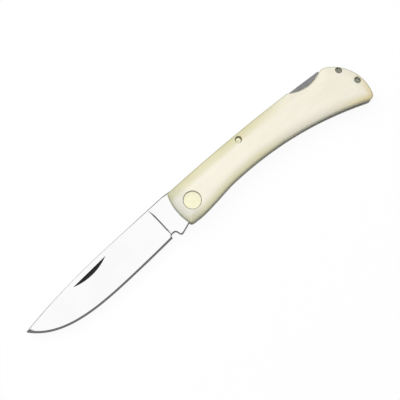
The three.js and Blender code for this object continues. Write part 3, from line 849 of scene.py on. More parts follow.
def plate_shell(name, node, loop, holes, material, body="handle"):
    """A flat piece with small rounded edges and round holes; a piece given no body is left unattached."""
    edge = handle_sizes().plate_edge
    low, high = levels(node)
    middle = (low + high) / 2
    half = (high - low) / 2
    insets = [edge * part for part in EDGE_SHARES] + [edge + EDGE_GAP]
    keep_out = [(centre, radius + edge + PLATE_HOLE_MARGIN) for centre, radius in holes]
    rows = ring_rows(loop, insets, keep_out)
    for centre, radius in holes:
        rings = [circle(centre, radius + gap, SMALL_STEPS) for gap in insets]
        rows += closed_rows(rings, loop)
    mouths = [circle(centre, radius, SMALL_STEPS) for centre, radius in holes]

    def half_at(points):
        drop = rounding(distance_to(points, loop), edge)
        for centre, radius in holes:
            drop = drop + rounding(np.linalg.norm(points - centre, axis=1) - radius, edge)
        return half - drop

    shell = Shell()
    corners, faces = triangulated(loop, mouths, rows, grid_spots(loop, PLATE_GRID, PLATE_MARGIN, keep_out))
    heights = half_at(corners)
    shell.add(raised(corners, middle + heights), faces)
    shell.add(raised(corners, middle - heights), faces)
    for ring in [loop, *mouths]:
        heights = half_at(ring)
        shell.wall(raised(ring, middle + heights), raised(ring, middle - heights))

    return placed(shell.make(name, material, {"rim": off_curve(loop)}), node, body)


def liner_shell(name, node):
    h = handle_sizes()
    holes = [(PIVOT, h.pivot_hole)] + [(pin, h.pin_hole) for pin in small_pins()]
    return plate_shell(name, node, handle_loop(), holes, liner_finish())


def bar_tail_x():
    return handle_sizes().butt_reach - spring_sizes().tail_inset


def bar_underside(x):
    """Underside of the lock bar: deeper towards the tail and much deeper round the eye of its pin."""
    h, s = handle_sizes(), spring_sizes()
    rocker_x = small_pins()[0][0]
    eye_depth = s.rocker_drop + h.pin_hole + s.rocker_wall - s.bar_depth
    away = np.minimum(1, np.abs(x - rocker_x) / s.eye_blend)
    rear_share = np.maximum(0, (x - rocker_x) / (bar_tail_x() - rocker_x))
    depth = s.bar_depth + (s.tail_depth - s.bar_depth) * rear_share
    return back_y(x) - depth - eye_depth * np.cos(away * math.pi / 2) ** 2


def lock_bar_loop():
    b, s = blade_sizes(), spring_sizes()
    nose = np.array([b.tang_shoulder_x + s.lock_gap, b.tang_round_radius + s.lock_gap])
    tail_x = bar_tail_x()
    under_x = np.linspace(nose[0] + s.nose_length + s.nose_ramp, tail_x, BAR_STEPS)
    under = np.column_stack([under_x, bar_underside(under_x)])
    back_x = np.linspace(tail_x, nose[0], BAR_STEPS)
    back = np.column_stack([back_x, back_y(back_x)])
    nose_end = nose + [s.nose_length, 0]
    curves = [
        line(nose, nose_end, 8),
        np.vstack([line(nose_end, under[0], 3), under[1:]]),
        line(under[-1], back[0], 5),
        back,
        line(back[-1], nose, 6),
    ]
    return rounded_loop(curves, BAR_LEGS, 4)


def tongue_top(x):
    s = spring_sizes()
    rocker_x = small_pins()[0][0]
    tail_x = bar_tail_x()
    tip_x = tail_x - s.tongue_length
    travel = (tail_x - rocker_x) * math.sin(s.rock_angle)
    room = travel * (x - tip_x) / (tail_x + s.lock_gap - tip_x)
    return bar_underside(np.minimum(x, tail_x)) - s.lock_gap - room


def back_spring_loop():
    """The spring's outline: tongue, hollow, block and the stretch flush with the handle's rim."""
    h, s = handle_sizes(), spring_sizes()
    upper, lower = small_pins()[1:]
    tail_x = bar_tail_x()
    face_x = tail_x + s.lock_gap
    tip_x = tail_x - s.tongue_length
    butt, notch = butt_centre(), notch_centre()
    x = np.linspace(tip_x, face_x, 60)
    grown = (x - tip_x) / (face_x - tip_x)
    thickness = s.tongue_tip + (s.tongue_root - s.tongue_tip) * grown
    top = np.column_stack([x, tongue_top(x)])
    under = np.column_stack([x, tongue_top(x) - thickness])
    waist = np.array([lower[0] - s.spring_wall, lower[1]])
    hollow = bezier([under[-1], [upper[0], upper[1] - s.spring_wall], waist], 24)
    foot_y = -s.spring_end_drop
    foot = bezier([waist, [waist[0], lower[1] - s.spring_wall], [lower[0], foot_y]], 12)
    end_angle = math.asin((foot_y - butt[1]) / h.butt_radius)
    end = butt + h.butt_radius * np.array([math.cos(end_angle), math.sin(end_angle)])
    rim = handle_loop()
    rim = rim[(rim[:, 0] > face_x) & (rim[:, 1] > foot_y)]
    rim = rim[np.argsort(np.arctan2(rim[:, 1] - butt[1], rim[:, 0] - butt[0]))]
    face_top = np.array([face_x, notch[1] - math.sqrt(h.notch_radius**2 - (face_x - notch[0]) ** 2)])
    curves = [
        np.vstack([under, hollow[1:], foot[1:]]),
        line(foot[-1], end, 4),
        np.vstack([[end], rim, [face_top]]),
        line(face_top, top[-1], 5),
        top[::-1],
        line(top[0], under[0], 3),
    ]
    return rounded_loop(curves, SPRING_LEGS, 4)


# Blade


def blade_reach(b):
    return handle_sizes().butt_reach - b.tip_inset


def spine_curve(b):
    tip = np.array([-blade_reach(b), b.tip_height])
    bend = np.array([b.spine_bend_x, b.spine_height])
    return bezier([tip, tip + [b.tip_lead, b.tip_rise], bend - [b.spine_lead, 0], bend], BLADE_STEPS)


def edge_curve(b):
    """The cutting edge, from the heel to the tip."""
    low = np.array([b.edge_low_x, -b.edge_low_drop])
    tip = np.array([-blade_reach(b), b.tip_height - b.tip_blunt])
    level = [(b.heel_x + b.edge_low_x) / 2, -b.edge_low_drop]
    heel = bezier([[b.heel_x, -b.heel_drop], level, low], BLADE_STEPS // 2)
    rise = tip + [b.tip_edge_lead, -b.tip_edge_fall]
    belly = bezier([low, low - [b.edge_lead, 0], rise, tip], BLADE_STEPS)
    return np.vstack([heel, belly[1:]])


def blade_curves(b):
    """The blade's outline in stretches: edge, tip and spine, then tang, kick and choil."""
    spine = spine_curve(b)
    edge = edge_curve(b)
    tang_front = [b.tang_front_x, b.tang_front_height]
    shoulder_top = np.array([b.tang_shoulder_x, float(back_y(b.tang_shoulder_x))])
    round_y = math.sqrt(b.tang_round_radius**2 - b.tang_shoulder_x**2)
    round_start = np.array([b.tang_shoulder_x, round_y])
    round_end = np.array([0.0, -b.tang_round_radius])
    foot = np.array([b.tang_foot_x, -b.tang_foot_drop])
    kick = np.array([b.kick_x, -b.kick_drop])
    hollow = np.array([(b.kick_x + b.choil_x) / 2, -(b.kick_drop + b.choil_drop) / 2])
    choil = np.array([b.choil_x, -b.choil_drop])
    wall_top = np.array([b.heel_x, b.heel_wall - b.heel_drop])
    tang = [
        line(spine[-1], tang_front, RICASSO_STEPS),
        line(tang_front, shoulder_top, 12),
        line(shoulder_top, round_start, 8),
        arc(PIVOT, b.tang_round_radius, round_start, round_end, 40, clockwise=True),
        line(round_end, foot, 14),
        line(foot, kick, 8),
        bezier([kick, kick - [b.kick_round, 0], hollow], 10),
        bezier([hollow, choil + [b.choil_round, 0], choil], 10),
        bezier([choil, choil - [b.choil_round, 0], wall_top], 12),
        line(wall_top, edge[0], 4),
    ]
    return edge, spine, np.vstack([part[1:] for part in tang])


class GroundSide:
    """Half thickness of the blade at any point of its side."""

    def __init__(self, b):
        self.b = b
        self.edge = edge_curve(b)[::-1]
        self.spine = spine_curve(b)
        self.reach = blade_reach(b)
        low, high = levels("blade")
        self.flat_half = (high - low) / 2
        self.slopes = np.abs(np.gradient(self.edge[:, 1], self.edge[:, 0]))

    def edge_y(self, x):
        return np.interp(x, self.edge[:, 0], self.edge[:, 1])

    def top_y(self, x):
        return np.interp(x, self.spine[:, 0], self.spine[:, 1])

    def rise(self, x):
        """Height of the bevel at x."""
        b = self.b
        slope = np.where(x > b.heel_x, 0, np.interp(x, self.edge[:, 0], self.slopes))
        room = (self.top_y(x) - self.edge_y(x)) * b.bevel_most
        return np.minimum(b.bevel_width * np.sqrt(1 + slope**2), room)

    def sweep(self, x):
        b = self.b
        return b.plunge_sweep * np.clip(1 + (x - b.plunge_x) / b.plunge_fade, 0, 1)

    def ground_half(self, x, part):
        b = self.b
        taper = np.clip((b.taper_start_x - x) / (b.taper_start_x + self.reach), 0, 1)
        spine_half = self.flat_half + (b.tip_half - self.flat_half) * taper**2
        return b.bevel_half + (spine_half - b.bevel_half) * np.clip(part, -1, 1.2)

    def station(self, points):
        """The station that a point belongs to, and its share of the way from bevel to spine."""
        x = points[:, 0]
        station = x.copy()
        for _ in range(6):
            base = self.edge_y(station) + self.rise(station)
            part = (points[:, 1] - base) / (self.top_y(station) - base)
            station = x + self.sweep(station) * np.clip(part, 0, 1.2) ** 3
        return station, part

    def half(self, points):
        b = self.b
        station, part = self.station(points)
        step = np.clip((b.plunge_x - station) / b.plunge_length, 0, 1)
        ground = np.sqrt(1 - (1 - step) ** 2)
        clear = self.flat_half + b.grind_clear
        side = clear + (self.ground_half(station, np.clip(part, 0, None)) - clear) * ground
        edge_y = self.edge_y(station)
        wall_foot = -b.kick_drop - 1
        foot = wall_foot + (edge_y - wall_foot) * ground
        foot_half = clear + (b.edge_blunt - clear) * ground
        line_y = edge_y + self.rise(station)
        line_half = clear + (b.bevel_half - clear) * ground
        down = np.clip((line_y - points[:, 1]) / np.maximum(line_y - foot, WELD), 0, 1)
        bevel = line_half + (foot_half - line_half) * down
        half = np.where(part < 0, bevel, side)
        return np.minimum(half, self.flat_half)


class Nick:
    """The nail nick: a crescent that is deepest under its straight upper edge."""

    def __init__(self, b):
        self.b = b
        self.radius = ((b.nick_length / 2) ** 2 + b.nick_drop**2) / (2 * b.nick_drop)
        turn = b.nick_turn
        self.along = np.array([math.cos(turn), math.sin(turn)])
        self.down = np.array([math.sin(turn), -math.cos(turn)])
        self.middle = np.array([b.nick_x, b.nick_y])

    def width(self, u):
        reach = np.clip(np.abs(u), 0, self.b.nick_length / 2)
        return self.b.nick_drop - (self.radius - np.sqrt(self.radius**2 - reach**2))

    def depth(self, points):
        off = points - self.middle
        u, v = off @ self.along, off @ self.down
        width = self.width(u)
        within = (v > 0) & (v < width) & (np.abs(u) < self.b.nick_length / 2)
        return np.where(within, self.b.nick_depth * (width - v) / self.b.nick_drop, 0)

    def at(self, u, v):
        return self.middle + np.outer(u, self.along) + np.outer(v, self.down)

    def rows(self):
        """Rows beside the crisp upper edge, along the arc and down the floor."""
        half = self.b.nick_length / 2
        u = np.linspace(-half, half, NICK_STEPS + 1)[1:-1]
        width = self.width(u)
        rows = [self.at(u, np.full(len(u), v)) for v in NICK_ROWS]
        inner = u[width > 0.2]
        rows.append(self.at(inner, self.width(inner) * 0.5))
        whole = np.concatenate([[-half], u, [half]])
        rows.append(self.at(whole, self.width(whole)))
        rows.append(self.at(u, width + NICK_OUTER_ROW))
        return rows


def blade_rows(b, side):
    """Rows along the bevel and the plunge, so that their lines stay crisp."""
    rows = []
    x = np.linspace(-side.reach + BEVEL_MARGIN, b.heel_x - HEEL_MARGIN, BEVEL_STEPS)
    edge_y, rise = side.edge_y(x), side.rise(x)
    for part in BEVEL_ROWS:
        rows.append(np.column_stack([x, edge_y + rise * part]))
    parts = np.linspace(0.0, PLUNGE_TOP, PLUNGE_STEPS)
    ground_at_flat = b.grind_clear / (side.flat_half + b.grind_clear - side.ground_half(b.plunge_x, parts))
    crease = 1 - np.sqrt(1 - np.clip(ground_at_flat, 0, 1) ** 2)
    for run in PLUNGE_ROWS:
        step = crease + (1 - crease) * run
        station = b.plunge_x - b.plunge_length * step
        base = side.edge_y(station) + side.rise(station)
        y = base + (side.top_y(station) - base) * parts
        shift = side.sweep(station) * parts**3
        rows.append(np.column_stack([station - shift, y]))
    return rows


def spine_rows(loop, spine_line):
    """Rows close under the spine, over its rounded corner."""
    on_spine = distance_to(loop, spine_line, closed=False) < WELD
    rows = []
    for inset in SPINE_ROWS:
        row = (loop + inward(loop) * inset)[on_spine]
        row = row[distance_to(row, loop) > inset * 0.99]
        rows.append(row[np.argsort(row[:, 0])])
    return rows


def tang_spots(b, loop, spine_line):
    """Points over the tang's rounded corners, away from the spine."""
    rows = ring_rows(loop, (*CORNER_INSETS, b.tang_round, b.tang_round + EDGE_GAP))
    rows = [row[row[:, 0] > b.heel_x + SPOT_MARGIN] for row in rows]
    spots = np.vstack([row for row in rows if len(row) > 1])
    return spots[distance_to(spots, spine_line, closed=False) > TANG_MARGIN]


def fair_rows(rows, loop, spine_line):
    """The rows without the points that crowd the outline or the spine's own rows."""
    fair = []
    for row in rows:
        keep = inside(row, loop) & (distance_to(row, loop) > ROW_MARGIN)
        keep &= distance_to(row, spine_line, closed=False) > SPINE_MARGIN
        if keep.sum() > 1:
            fair.append(row[keep])
    return fair


def blade_shell():
    """The blade with its tang: both sides as one height field, mirrored about the middle."""
    b = blade_sizes()
    hole_radius = handle_sizes().pivot_hole
    side = GroundSide(b)
    nick = Nick(b)
    edge, spine, tang = blade_curves(b)
    spine_line = evened(np.vstack([spine, tang[:RICASSO_STEPS]]), BLADE_SPACING)
    rest = evened(tang[RICASSO_STEPS - 1 :], BLADE_SPACING)
    loop = np.vstack([evened(edge, BLADE_SPACING), spine_line[:-1], rest[:-1]])[::-1]
    middle = middle_z()
    spine_end = spine_line[-1][0]

    def half_at(points, hollow):
        half = side.half(points)
        half = half - rounding(distance_to(points, spine_line, closed=False), b.spine_round)
        near_tang = distance_to(points, rest, closed=False)
        past = points[:, 0] > b.heel_x
        half = half - np.where(past, rounding(near_tang, b.tang_round), 0)
        half = half - rounding(np.linalg.norm(points, axis=1) - hole_radius, b.tang_round)
        if hollow:
            half = half - nick.depth(points)
        return np.maximum(half, b.edge_blunt)

    hole = circle(PIVOT, hole_radius, SMALL_STEPS)
    hole_insets = (*CORNER_INSETS, b.tang_round, SPOT_MARGIN)
    hole_rings = [circle(PIVOT, hole_radius + inset, SMALL_STEPS) for inset in hole_insets]
    plain = blade_rows(b, side)
    nick_rows = nick.rows()
    rows = [*spine_rows(loop, spine_line), *closed_rows(hole_rings, loop)]
    rows += fair_rows(plain, loop, spine_line)
    spots = grid_spots(loop, BLADE_GRID, BLADE_MARGIN, [(PIVOT, hole_radius + HOLE_MARGIN)])
    far = np.ones(len(spots), bool)
    for row in [*plain, *nick_rows]:
        far &= distance_to(spots, row, closed=False) > SPOT_MARGIN
    spots = np.vstack([spots[far], tang_spots(b, loop, spine_line)])
    shell = Shell()
    corners, faces = triangulated(loop, [hole], [*rows, *nick_rows], spots)
    shell.add(raised(corners, middle + half_at(corners, True)), faces)
    corners, faces = triangulated(loop, [hole], rows, spots)
    shell.add(raised(corners, middle - half_at(corners, False)), faces)
    for ring in (loop, hole):
        half = half_at(ring, False)
        shell.wall(raised(ring, middle + half), raised(ring, middle - half))

    def spine_distance(points):
        away = distance_to(points[:, :2], spine_line, closed=False)
        return np.where(points[:, 0] > spine_end, 1, away) * MM

    # The nick's depth on the front side, which places the painted shade in the nick
    def struck(points):
        in_front = points[:, 2] > middle
        return np.where(in_front, nick.depth(points[:, :2]), 0) * MM

    values = {"spine": spine_distance, "rim": off_curve(rest, closed=False), "struck": struck}
    return placed(shell.make("blade_ground", blade_finish(), values, 12.0), "blade", "blade")


# Turned pieces


def turned_shell(name, node, profile, material, steps=BIG_STEPS):
    """A piece turned about Z; the profile lists radius and Z pairs and starts and ends on the axis."""
    centre = centre_of(node)
    shell = Shell()
    rings = []
    for radius, z in profile[1:-1]:
        rings.append(raised(circle(centre, radius, steps), z))
    for a, b in zip(rings[:-1], rings[1:]):
        shell.wall(a, b)
    shell.cap(rings[0], [centre[0], centre[1], profile[0][1]])
    shell.cap(rings[-1], [centre[0], centre[1], profile[-1][1]])

    def spin(points):
        return np.linalg.norm(points[:, :2] - centre, axis=1) * MM

    return placed(shell.make(name, material, {"spin": spin}), node)


def quarter(radius, z, size, facing, steps=6):
    """Points of a rounded rim, from the wall over to the face."""
    points = []
    for turn in np.linspace(0, math.pi / 2, steps + 1):
        points.append((radius - size * (1 - math.cos(turn)), z - facing * size * (1 - math.sin(turn))))
    return points


def pivot_head_profile(low, high, facing):
    """A pivot head: a blind bore below, a rounded rim and a slight dome."""
    h, p = handle_sizes(), pin_sizes()
    pin_low, pin_high = levels("pivot_pin")
    outer, inner = (high, low) if facing > 0 else (low, high)
    bore_top = (pin_high if facing > 0 else pin_low) + facing * (h.pivot_hole - p.pin_end_radius)
    head_low, head_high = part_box("front_pivot_head")
    rim = (head_high.x - head_low.x) / MM / 2

    def dome(radius):
        return outer - facing * p.head_dome * (radius / rim) ** 2

    edge_z = dome(rim - p.head_round)
    profile = [(0, bore_top), (h.pivot_hole, bore_top), (h.pivot_hole, inner), (rim, inner)]
    profile += quarter(rim, edge_z, p.head_round, facing)
    profile += [(radius, dome(radius)) for radius in DOME_RINGS]
    profile.append((0, outer))
    return profile


def small_pin_profile(node):
    """A small pin: a shank between two rounded heads with a slight hollow in each."""
    p = pin_sizes()
    low, high = levels(node)
    liner_low, liner_high = levels("rear_liner")[0], levels("front_liner")[1]
    hollow = [(0, p.small_dimple)]
    hollow += [(radius, p.small_dimple * part) for radius, part in zip(DIMPLE_RINGS, DIMPLE_SHARES)]
    below = [(radius, low + deep) for radius, deep in hollow]
    below += reversed(quarter(p.small_head, low, p.small_round, -1))
    below += [(p.small_head, liner_low), (p.small_radius, liner_low)]
    above = [(p.small_radius, liner_high), (p.small_head, liner_high)]
    above += quarter(p.small_head, high, p.small_round, 1)
    above += [(radius, high - deep) for radius, deep in reversed(hollow)]
    return below + above


# Shader nodes


class Net:
    """Short calls to add and link nodes in one tree."""

    def __init__(self, tree):
        self.tree = tree

    def add(self, kind, inputs=None, **settings):
        node = self.tree.nodes.new(kind)
        for key, value in settings.items():
            setattr(node, key, value)
        for key, value in (inputs or {}).items():
            self.feed(node.inputs[key], value)
        return node

    def feed(self, socket, value):
        if isinstance(value, bpy.types.NodeSocket):
            self.tree.links.new(value, socket)
        elif hasattr(socket.default_value, "__len__") and len(value) < len(socket.default_value):
            socket.default_value = (*value, 1.0)
        else:
            socket.default_value = value

    def math(self, operation, a, b=0.0, clamp=False):
        node = self.add("ShaderNodeMath", {0: a, 1: b}, operation=operation, use_clamp=clamp)
        return node.outputs[0]

    def band(self, value, start, end, low=0.0, high=1.0):
        """The value carried smoothly from one range to another."""
        inputs = {"Value": value, "From Min": start, "From Max": end, "To Min": low, "To Max": high}
        return self.add("ShaderNodeMapRange", inputs, interpolation_type="SMOOTHSTEP").outputs["Result"]

    def fading(self, value, reach):
        """Full before the reach and nothing past it."""
        return self.band(value, *reach, 1.0, 0.0)

    def mix(self, factor, a, b, blend="MIX"):
        node = self.add("ShaderNodeMix", data_type="RGBA", blend_type=blend)
        self.feed(node.inputs["Factor"], factor)
        self.feed(node.inputs[6], a)
        self.feed(node.inputs[7], b)
        return node.outputs[2]

    def stretched(self, scale):
        """Object coordinates stretched along the three axes."""
        place = self.add("ShaderNodeTexCoord").outputs["Object"]
        return self.add("ShaderNodeMapping", {"Vector": place, "Scale": scale}).outputs["Vector"]

    def noise(self, vector, scale, detail=3.0, roughness=0.55):
        inputs = {"Vector": vector, "Scale": scale, "Detail": detail, "Roughness": roughness}
        return self.add("ShaderNodeTexNoise", inputs).outputs["Fac"]

    def attribute(self, name):
        return self.add("ShaderNodeAttribute", attribute_name=name).outputs["Fac"]

    def scaled(self, value, factor, base):
        """The value times a factor, plus a base."""
        inputs = {0: value, 1: factor, 2: base}
        return self.add("ShaderNodeMath", inputs, operation="MULTIPLY_ADD").outputs[0]

    def in_mirrors(self, path):
        """Whether a ray of the light path comes from a polished or clear surface."""
        return self.math("ADD", path["Is Glossy Ray"], path["Is Transmission Ray"], True)

    def group(self, tree, inputs):
        return self.add("ShaderNodeGroup", inputs, node_tree=tree)

    def drifting(self, vector, first, second, scale, amount):
        inputs = {"Vector": vector, "First": first, "Second": second, "Scale": scale, "Amount": amount}
        return self.group(tone_drift(), inputs).outputs["Colour"]

    def scratched(self, vector, scale):
        return self.group(fine_scratches(), {"Vector": vector, "Scale": scale, "Amount": 1.0}).outputs

    # A patchy mask along the rim: wear on the metal rims, painted shade on the bone's rim
    def worn(self, vector, width, scale):
        inputs = {"Vector": vector, "Distance": self.attribute("rim"), "Width": width, "Scale": scale}
        return self.group(rim_wear_and_shade_group(), inputs).outputs["Mask"]


ORIGIN = (0.0, 0.0, 0.0)
WHITE = (1.0, 1.0, 1.0, 1.0)
BLACK = (0.0, 0.0, 0.0, 1.0)
SOCKETS = {ORIGIN: "NodeSocketVector", WHITE: "NodeSocketColor", BLACK: "NodeSocketColor"}


def shader_group(name, inputs, outputs, fill):
    """A shared effect, built once: fill lays its nodes between the inputs and the outputs."""
    found = bpy.data.node_groups.get(name)
    if found:
        return found
    tree = bpy.data.node_groups.new(name, "ShaderNodeTree")
    for way, sockets in (("INPUT", inputs), ("OUTPUT", outputs)):
        for key, value in sockets.items():
            kind = SOCKETS.get(value, "NodeSocketFloat")
            tree.interface.new_socket(key, in_out=way, socket_type=kind).default_value = value
    net = Net(tree)
    given = net.add("NodeGroupInput").outputs
    result = net.add("NodeGroupOutput").inputs
    fill(net, given, result)
    return tree


def tone_drift():
    """Two colours that drift into each other over the surface."""

    def fill(net, given, result):
        cloud = net.noise(given["Vector"], given["Scale"], 4.0, 0.6)
        spread = net.band(cloud, 0.35, 0.68)
        part = net.math("MULTIPLY", spread, given["Amount"])
        net.feed(result["Colour"], net.mix(part, given["First"], given["Second"]))

    inputs = {"Vector": ORIGIN, "First": WHITE, "Second": BLACK, "Scale": 10.0, "Amount": 1.0}
    return shader_group("Tone drift", inputs, {"Colour": WHITE}, fill)


def fine_scratches():
    """Long hair-fine lines: their mask for roughness and their height for bump."""

    def fill(net, given, result):
        lines = net.noise(given["Vector"], given["Scale"], 5.0, 0.7)
        hairs = net.band(lines, 0.56, 0.66)
        net.feed(result["Mask"], net.math("MULTIPLY", hairs, given["Amount"]))
        net.feed(result["Height"], net.math("MULTIPLY", lines, given["Amount"]))

    inputs = {"Vector": ORIGIN, "Scale": 100.0, "Amount": 1.0}
    return shader_group("Fine scratches", inputs, {"Mask": 0.0, "Height": 0.0}, fill)


def rim_wear_and_shade_group():
    """A mask along a rim, broken up in patches: wear on metal rims, painted shade along the bone's rim."""

    def fill(net, given, result):
        near = net.band(given["Distance"], 0.0, given["Width"], 1.0, 0.0)
        patches = net.noise(given["Vector"], given["Scale"], 3.0, 0.6)
        broken = net.band(patches, 0.3, 0.7, 0.45, 1.0)
        net.feed(result["Mask"], net.math("MULTIPLY", near, broken))

    inputs = {"Vector": ORIGIN, "Distance": 0.0, "Width": 0.001, "Scale": 150.0}
    return shader_group("Rim wear", inputs, {"Mask": 0.0}, fill)


def finish(name, lay):
    """The named material, made once; lay sets its nodes round the Principled shader."""
    found = bpy.data.materials.get(name)
    if found:
        return found
    material = bpy.data.materials.new(name)
    material.use_nodes = True
    tree = material.node_tree
    lay(Net(tree), tree.nodes["Principled BSDF"], bpy.context.scene.knife_finishes)
    return material


def bump(net, height, strength, distance):
    inputs = {"Height": height, "Strength": strength, "Distance": distance}
    return net.add("ShaderNodeBump", inputs).outputs["Normal"]


def bone_finish():
    """Ivory with marrow streaks and a tan stain along the lower butt, under painted shade: darker bands along
    the rim, under the back, above the belly and over the front end.
    """

    def lay(net, shader, f):
        plain = net.stretched((1, 1, 1))
        grain = net.stretched((0.12, 1, 1))
        drift = net.drifting(plain, f.ivory, f.marrow, 38.0, 0.16)
        streaked = net.drifting(grain, drift, f.marrow, 620.0, 0.14)
        rim = net.attribute("rim")
        # Painted shade: the bone darkens and yellows along its rim, more towards the front
        rim_mask = net.worn(plain, 0.0032, 60.0)
        position = net.add("ShaderNodeSeparateXYZ", {"Vector": plain}).outputs
        x = position["X"]
        rim_mask = net.math("MULTIPLY", rim_mask, net.band(x, *RIM_SHADE_X, 0.55, 0.1))
        tone = net.mix(rim_mask, streaked, f.rim_tint)
        lower_butt = net.math("MULTIPLY", net.band(x, *TAN_X), net.band(position["Y"], *TAN_Y))
        under_back = net.fading(net.attribute("below_back"), BACK_SHADE_OFF)
        at_belly = net.fading(net.attribute("above_belly"), BELLY_SHADE_OFF)
        # The tan stain, then the painted shade bands, multiplied over the tone
        stains_and_shades = [
            (net.math("MULTIPLY", lower_butt, net.fading(rim, TAN_OFF_RIM)), f.tan),
            # Painted shade under the back
            (net.math("MULTIPLY", under_back, net.fading(x, BACK_SHADE_X)), f.back_tint),
            # Painted shade above the belly
            (net.math("MULTIPLY", at_belly, net.fading(x, BELLY_SHADE_X)), f.belly_tint),
            # Painted shade: a narrow dark line along the rim
            (net.fading(rim, RIM_SHADE_LINE_OFF), f.rim_line),
            # Painted grey-green shade over the front end
            (net.band(x, *FRONT_SHADE_X), f.front_tint),
        ]
        for mask, overlay_colour in stains_and_shades:
            tone = net.mix(mask, tone, overlay_colour, "MULTIPLY")
        net.feed(shader.inputs["Base Color"], tone)
        hairs = net.scratched(grain, 900.0)
        net.feed(shader.inputs["Roughness"], net.scaled(hairs["Mask"], 0.12, f.bone_roughness))
        net.feed(shader.inputs["Normal"], bump(net, hairs["Height"], 0.12, 0.00005))
        shader.inputs["Coat Weight"].default_value = 0.35
        shader.inputs["Coat Roughness"].default_value = 0.08

    return finish("Polished bone", lay)


def metal_finish(name, key, dark, grain, hair_scale, hair_bump, worn):
    """A plain metal with drifting tone, fine lines along X and brighter worn rims."""

    def lay(net, shader, f):
        base = list(getattr(f, key))
        plain = net.stretched((1, 1, 1))
        lined = net.stretched((grain, 1, 1))
        drift = net.drifting(plain, base, [c * dark for c in base], 90.0, 0.35)
        rim_mask = net.math("MULTIPLY", net.worn(plain, 0.0005, 200.0), worn)
        net.feed(shader.inputs["Base Color"], net.mix(rim_mask, drift, [min(1.0, c * 1.5) for c in base]))
        hairs = net.scratched(lined, hair_scale)
        net.feed(shader.inputs["Roughness"], net.scaled(hairs["Mask"], 0.14, f.satin_roughness))
        net.feed(shader.inputs["Normal"], bump(net, hairs["Height"], hair_bump, 0.00003))
        shader.inputs["Metallic"].default_value = 1.0

    return finish(name, lay)


def blade_finish():
    """Mirror polish; the nick and thin lines along the tang and the spine are rougher and darkened with
    painted shade.
    """

    def lay(net, shader, f):
        plain = net.stretched((1, 1, 1))
        long = net.stretched((0.05, 1, 1))
        drift = net.drifting(plain, f.blade, [c * 0.95 for c in f.blade], 45.0, 0.5)
        # Painted shade: the nick's floor is darkened near black
        struck = net.band(net.attribute("struck"), *NICK_SHADE_DEPTH)
        # Painted shade along the tang's narrow faces and the spine, which are also made rougher
        tang_line = net.fading(net.attribute("rim"), TANG_LINE_OFF)
        x = net.add("ShaderNodeSeparateXYZ", {"Vector": plain}).outputs["X"]
        spine_line = net.fading(net.attribute("spine"), SPINE_LINE_OFF)
        reach = net.math("MAXIMUM", net.band(x, *SPINE_LINE_X), net.band(x, *TIP_LINE_X, 0.0, 0.5))
        edges = net.math("MAXIMUM", tang_line, net.math("MULTIPLY", spine_line, reach))
        unpolished = net.math("MAXIMUM", struck, edges)
        edged = net.mix(edges, drift, f.unpolished)
        net.feed(shader.inputs["Base Color"], net.mix(struck, edged, f.nick_floor))
        hairs = net.scratched(long, 1500.0)
        rough = net.scaled(hairs["Mask"], 0.06, f.blade_roughness)
        net.feed(shader.inputs["Roughness"], net.scaled(unpolished, 0.22, rough))
        net.feed(shader.inputs["Normal"], bump(net, hairs["Height"], 0.03, 0.00002))
        shader.inputs["Metallic"].default_value = 1.0

    return finish("Mirror polished steel", lay)


def satin_finish():
    return metal_finish("Satin steel", "satin", 0.82, grain=0.06, hair_scale=1400.0, hair_bump=0.25, worn=0.4)


def liner_finish():
    return metal_finish("Liner metal", "liner", 0.85, grain=0.1, hair_scale=1200.0, hair_bump=0.2, worn=0.3)


def spun_finish(name, key, dark, roughness_key):
    """Metal with the fine rings that turning and peening leave about its own axis."""

    def lay(net, shader, f):
        base = list(getattr(f, key))
        roughness = getattr(f, roughness_key)
        inputs = {"W": net.attribute("spin"), "Scale": 9000.0, "Detail": 2.0, "Roughness": 0.6}
        rings = net.add("ShaderNodeTexNoise", inputs, noise_dimensions="1D").outputs["Fac"]
        plain = net.stretched((1, 1, 1))
        net.feed(shader.inputs["Base Color"], net.drifting(plain, base, [c * dark for c in base], 420.0, 0.6))
        net.feed(shader.inputs["Roughness"], net.scaled(rings, 0.1, roughness - 0.05))
        net.feed(shader.inputs["Normal"], bump(net, rings, 0.12, 0.00002))
        shader.inputs["Metallic"].default_value = 1.0

    return finish(name, lay)


def brass_finish():
    return spun_finish("Pale brass", "brass", 0.9, "brass_roughness")


def pin_finish():
    return spun_finish("Pin steel", "pin", 0.75, "satin_roughness")


# Operators


class KNIFE_OT_scales(Operator):
    """Builds the two bone scales"""

    bl_idname = "knife.build_scales"
    bl_label = "Bone scales"

    def execute(self, context):
        scale_shell("bone_scale_front", "front_scale", 1)
        scale_shell("bone_scale_rear", "rear_scale", -1)
        return {"FINISHED"}


class KNIFE_OT_liners(Operator):
    """Builds the two metal liners"""

    bl_idname = "knife.build_liners"
    bl_label = "Liners"

    def execute(self, context):
        liner_shell("liner_plate_front", "front_liner")
        liner_shell("liner_plate_rear", "rear_liner")
        return {"FINISHED"}


class KNIFE_OT_blade(Operator):
    """Builds the ground blade with its tang and nail nick"""

    bl_idname = "knife.build_blade"
    bl_label = "Blade"

    def execute(self, context):
        blade_shell()
        return {"FINISHED"}


class KNIFE_OT_lock_bar(Operator):
    """Builds the rocking lock bar"""

    bl_idname = "knife.build_lock_bar"
    bl_label = "Lock bar"

    def execute(self, context):
        holes = [(small_pins()[0], handle_sizes().pin_hole)]
        loop = evened_loop(lock_bar_loop(), PLATE_SPACING)
        plate_shell("lock_bar_rocker", "lock_bar", loop, holes, satin_finish(), "lock_bar")
        return {"FINISHED"}


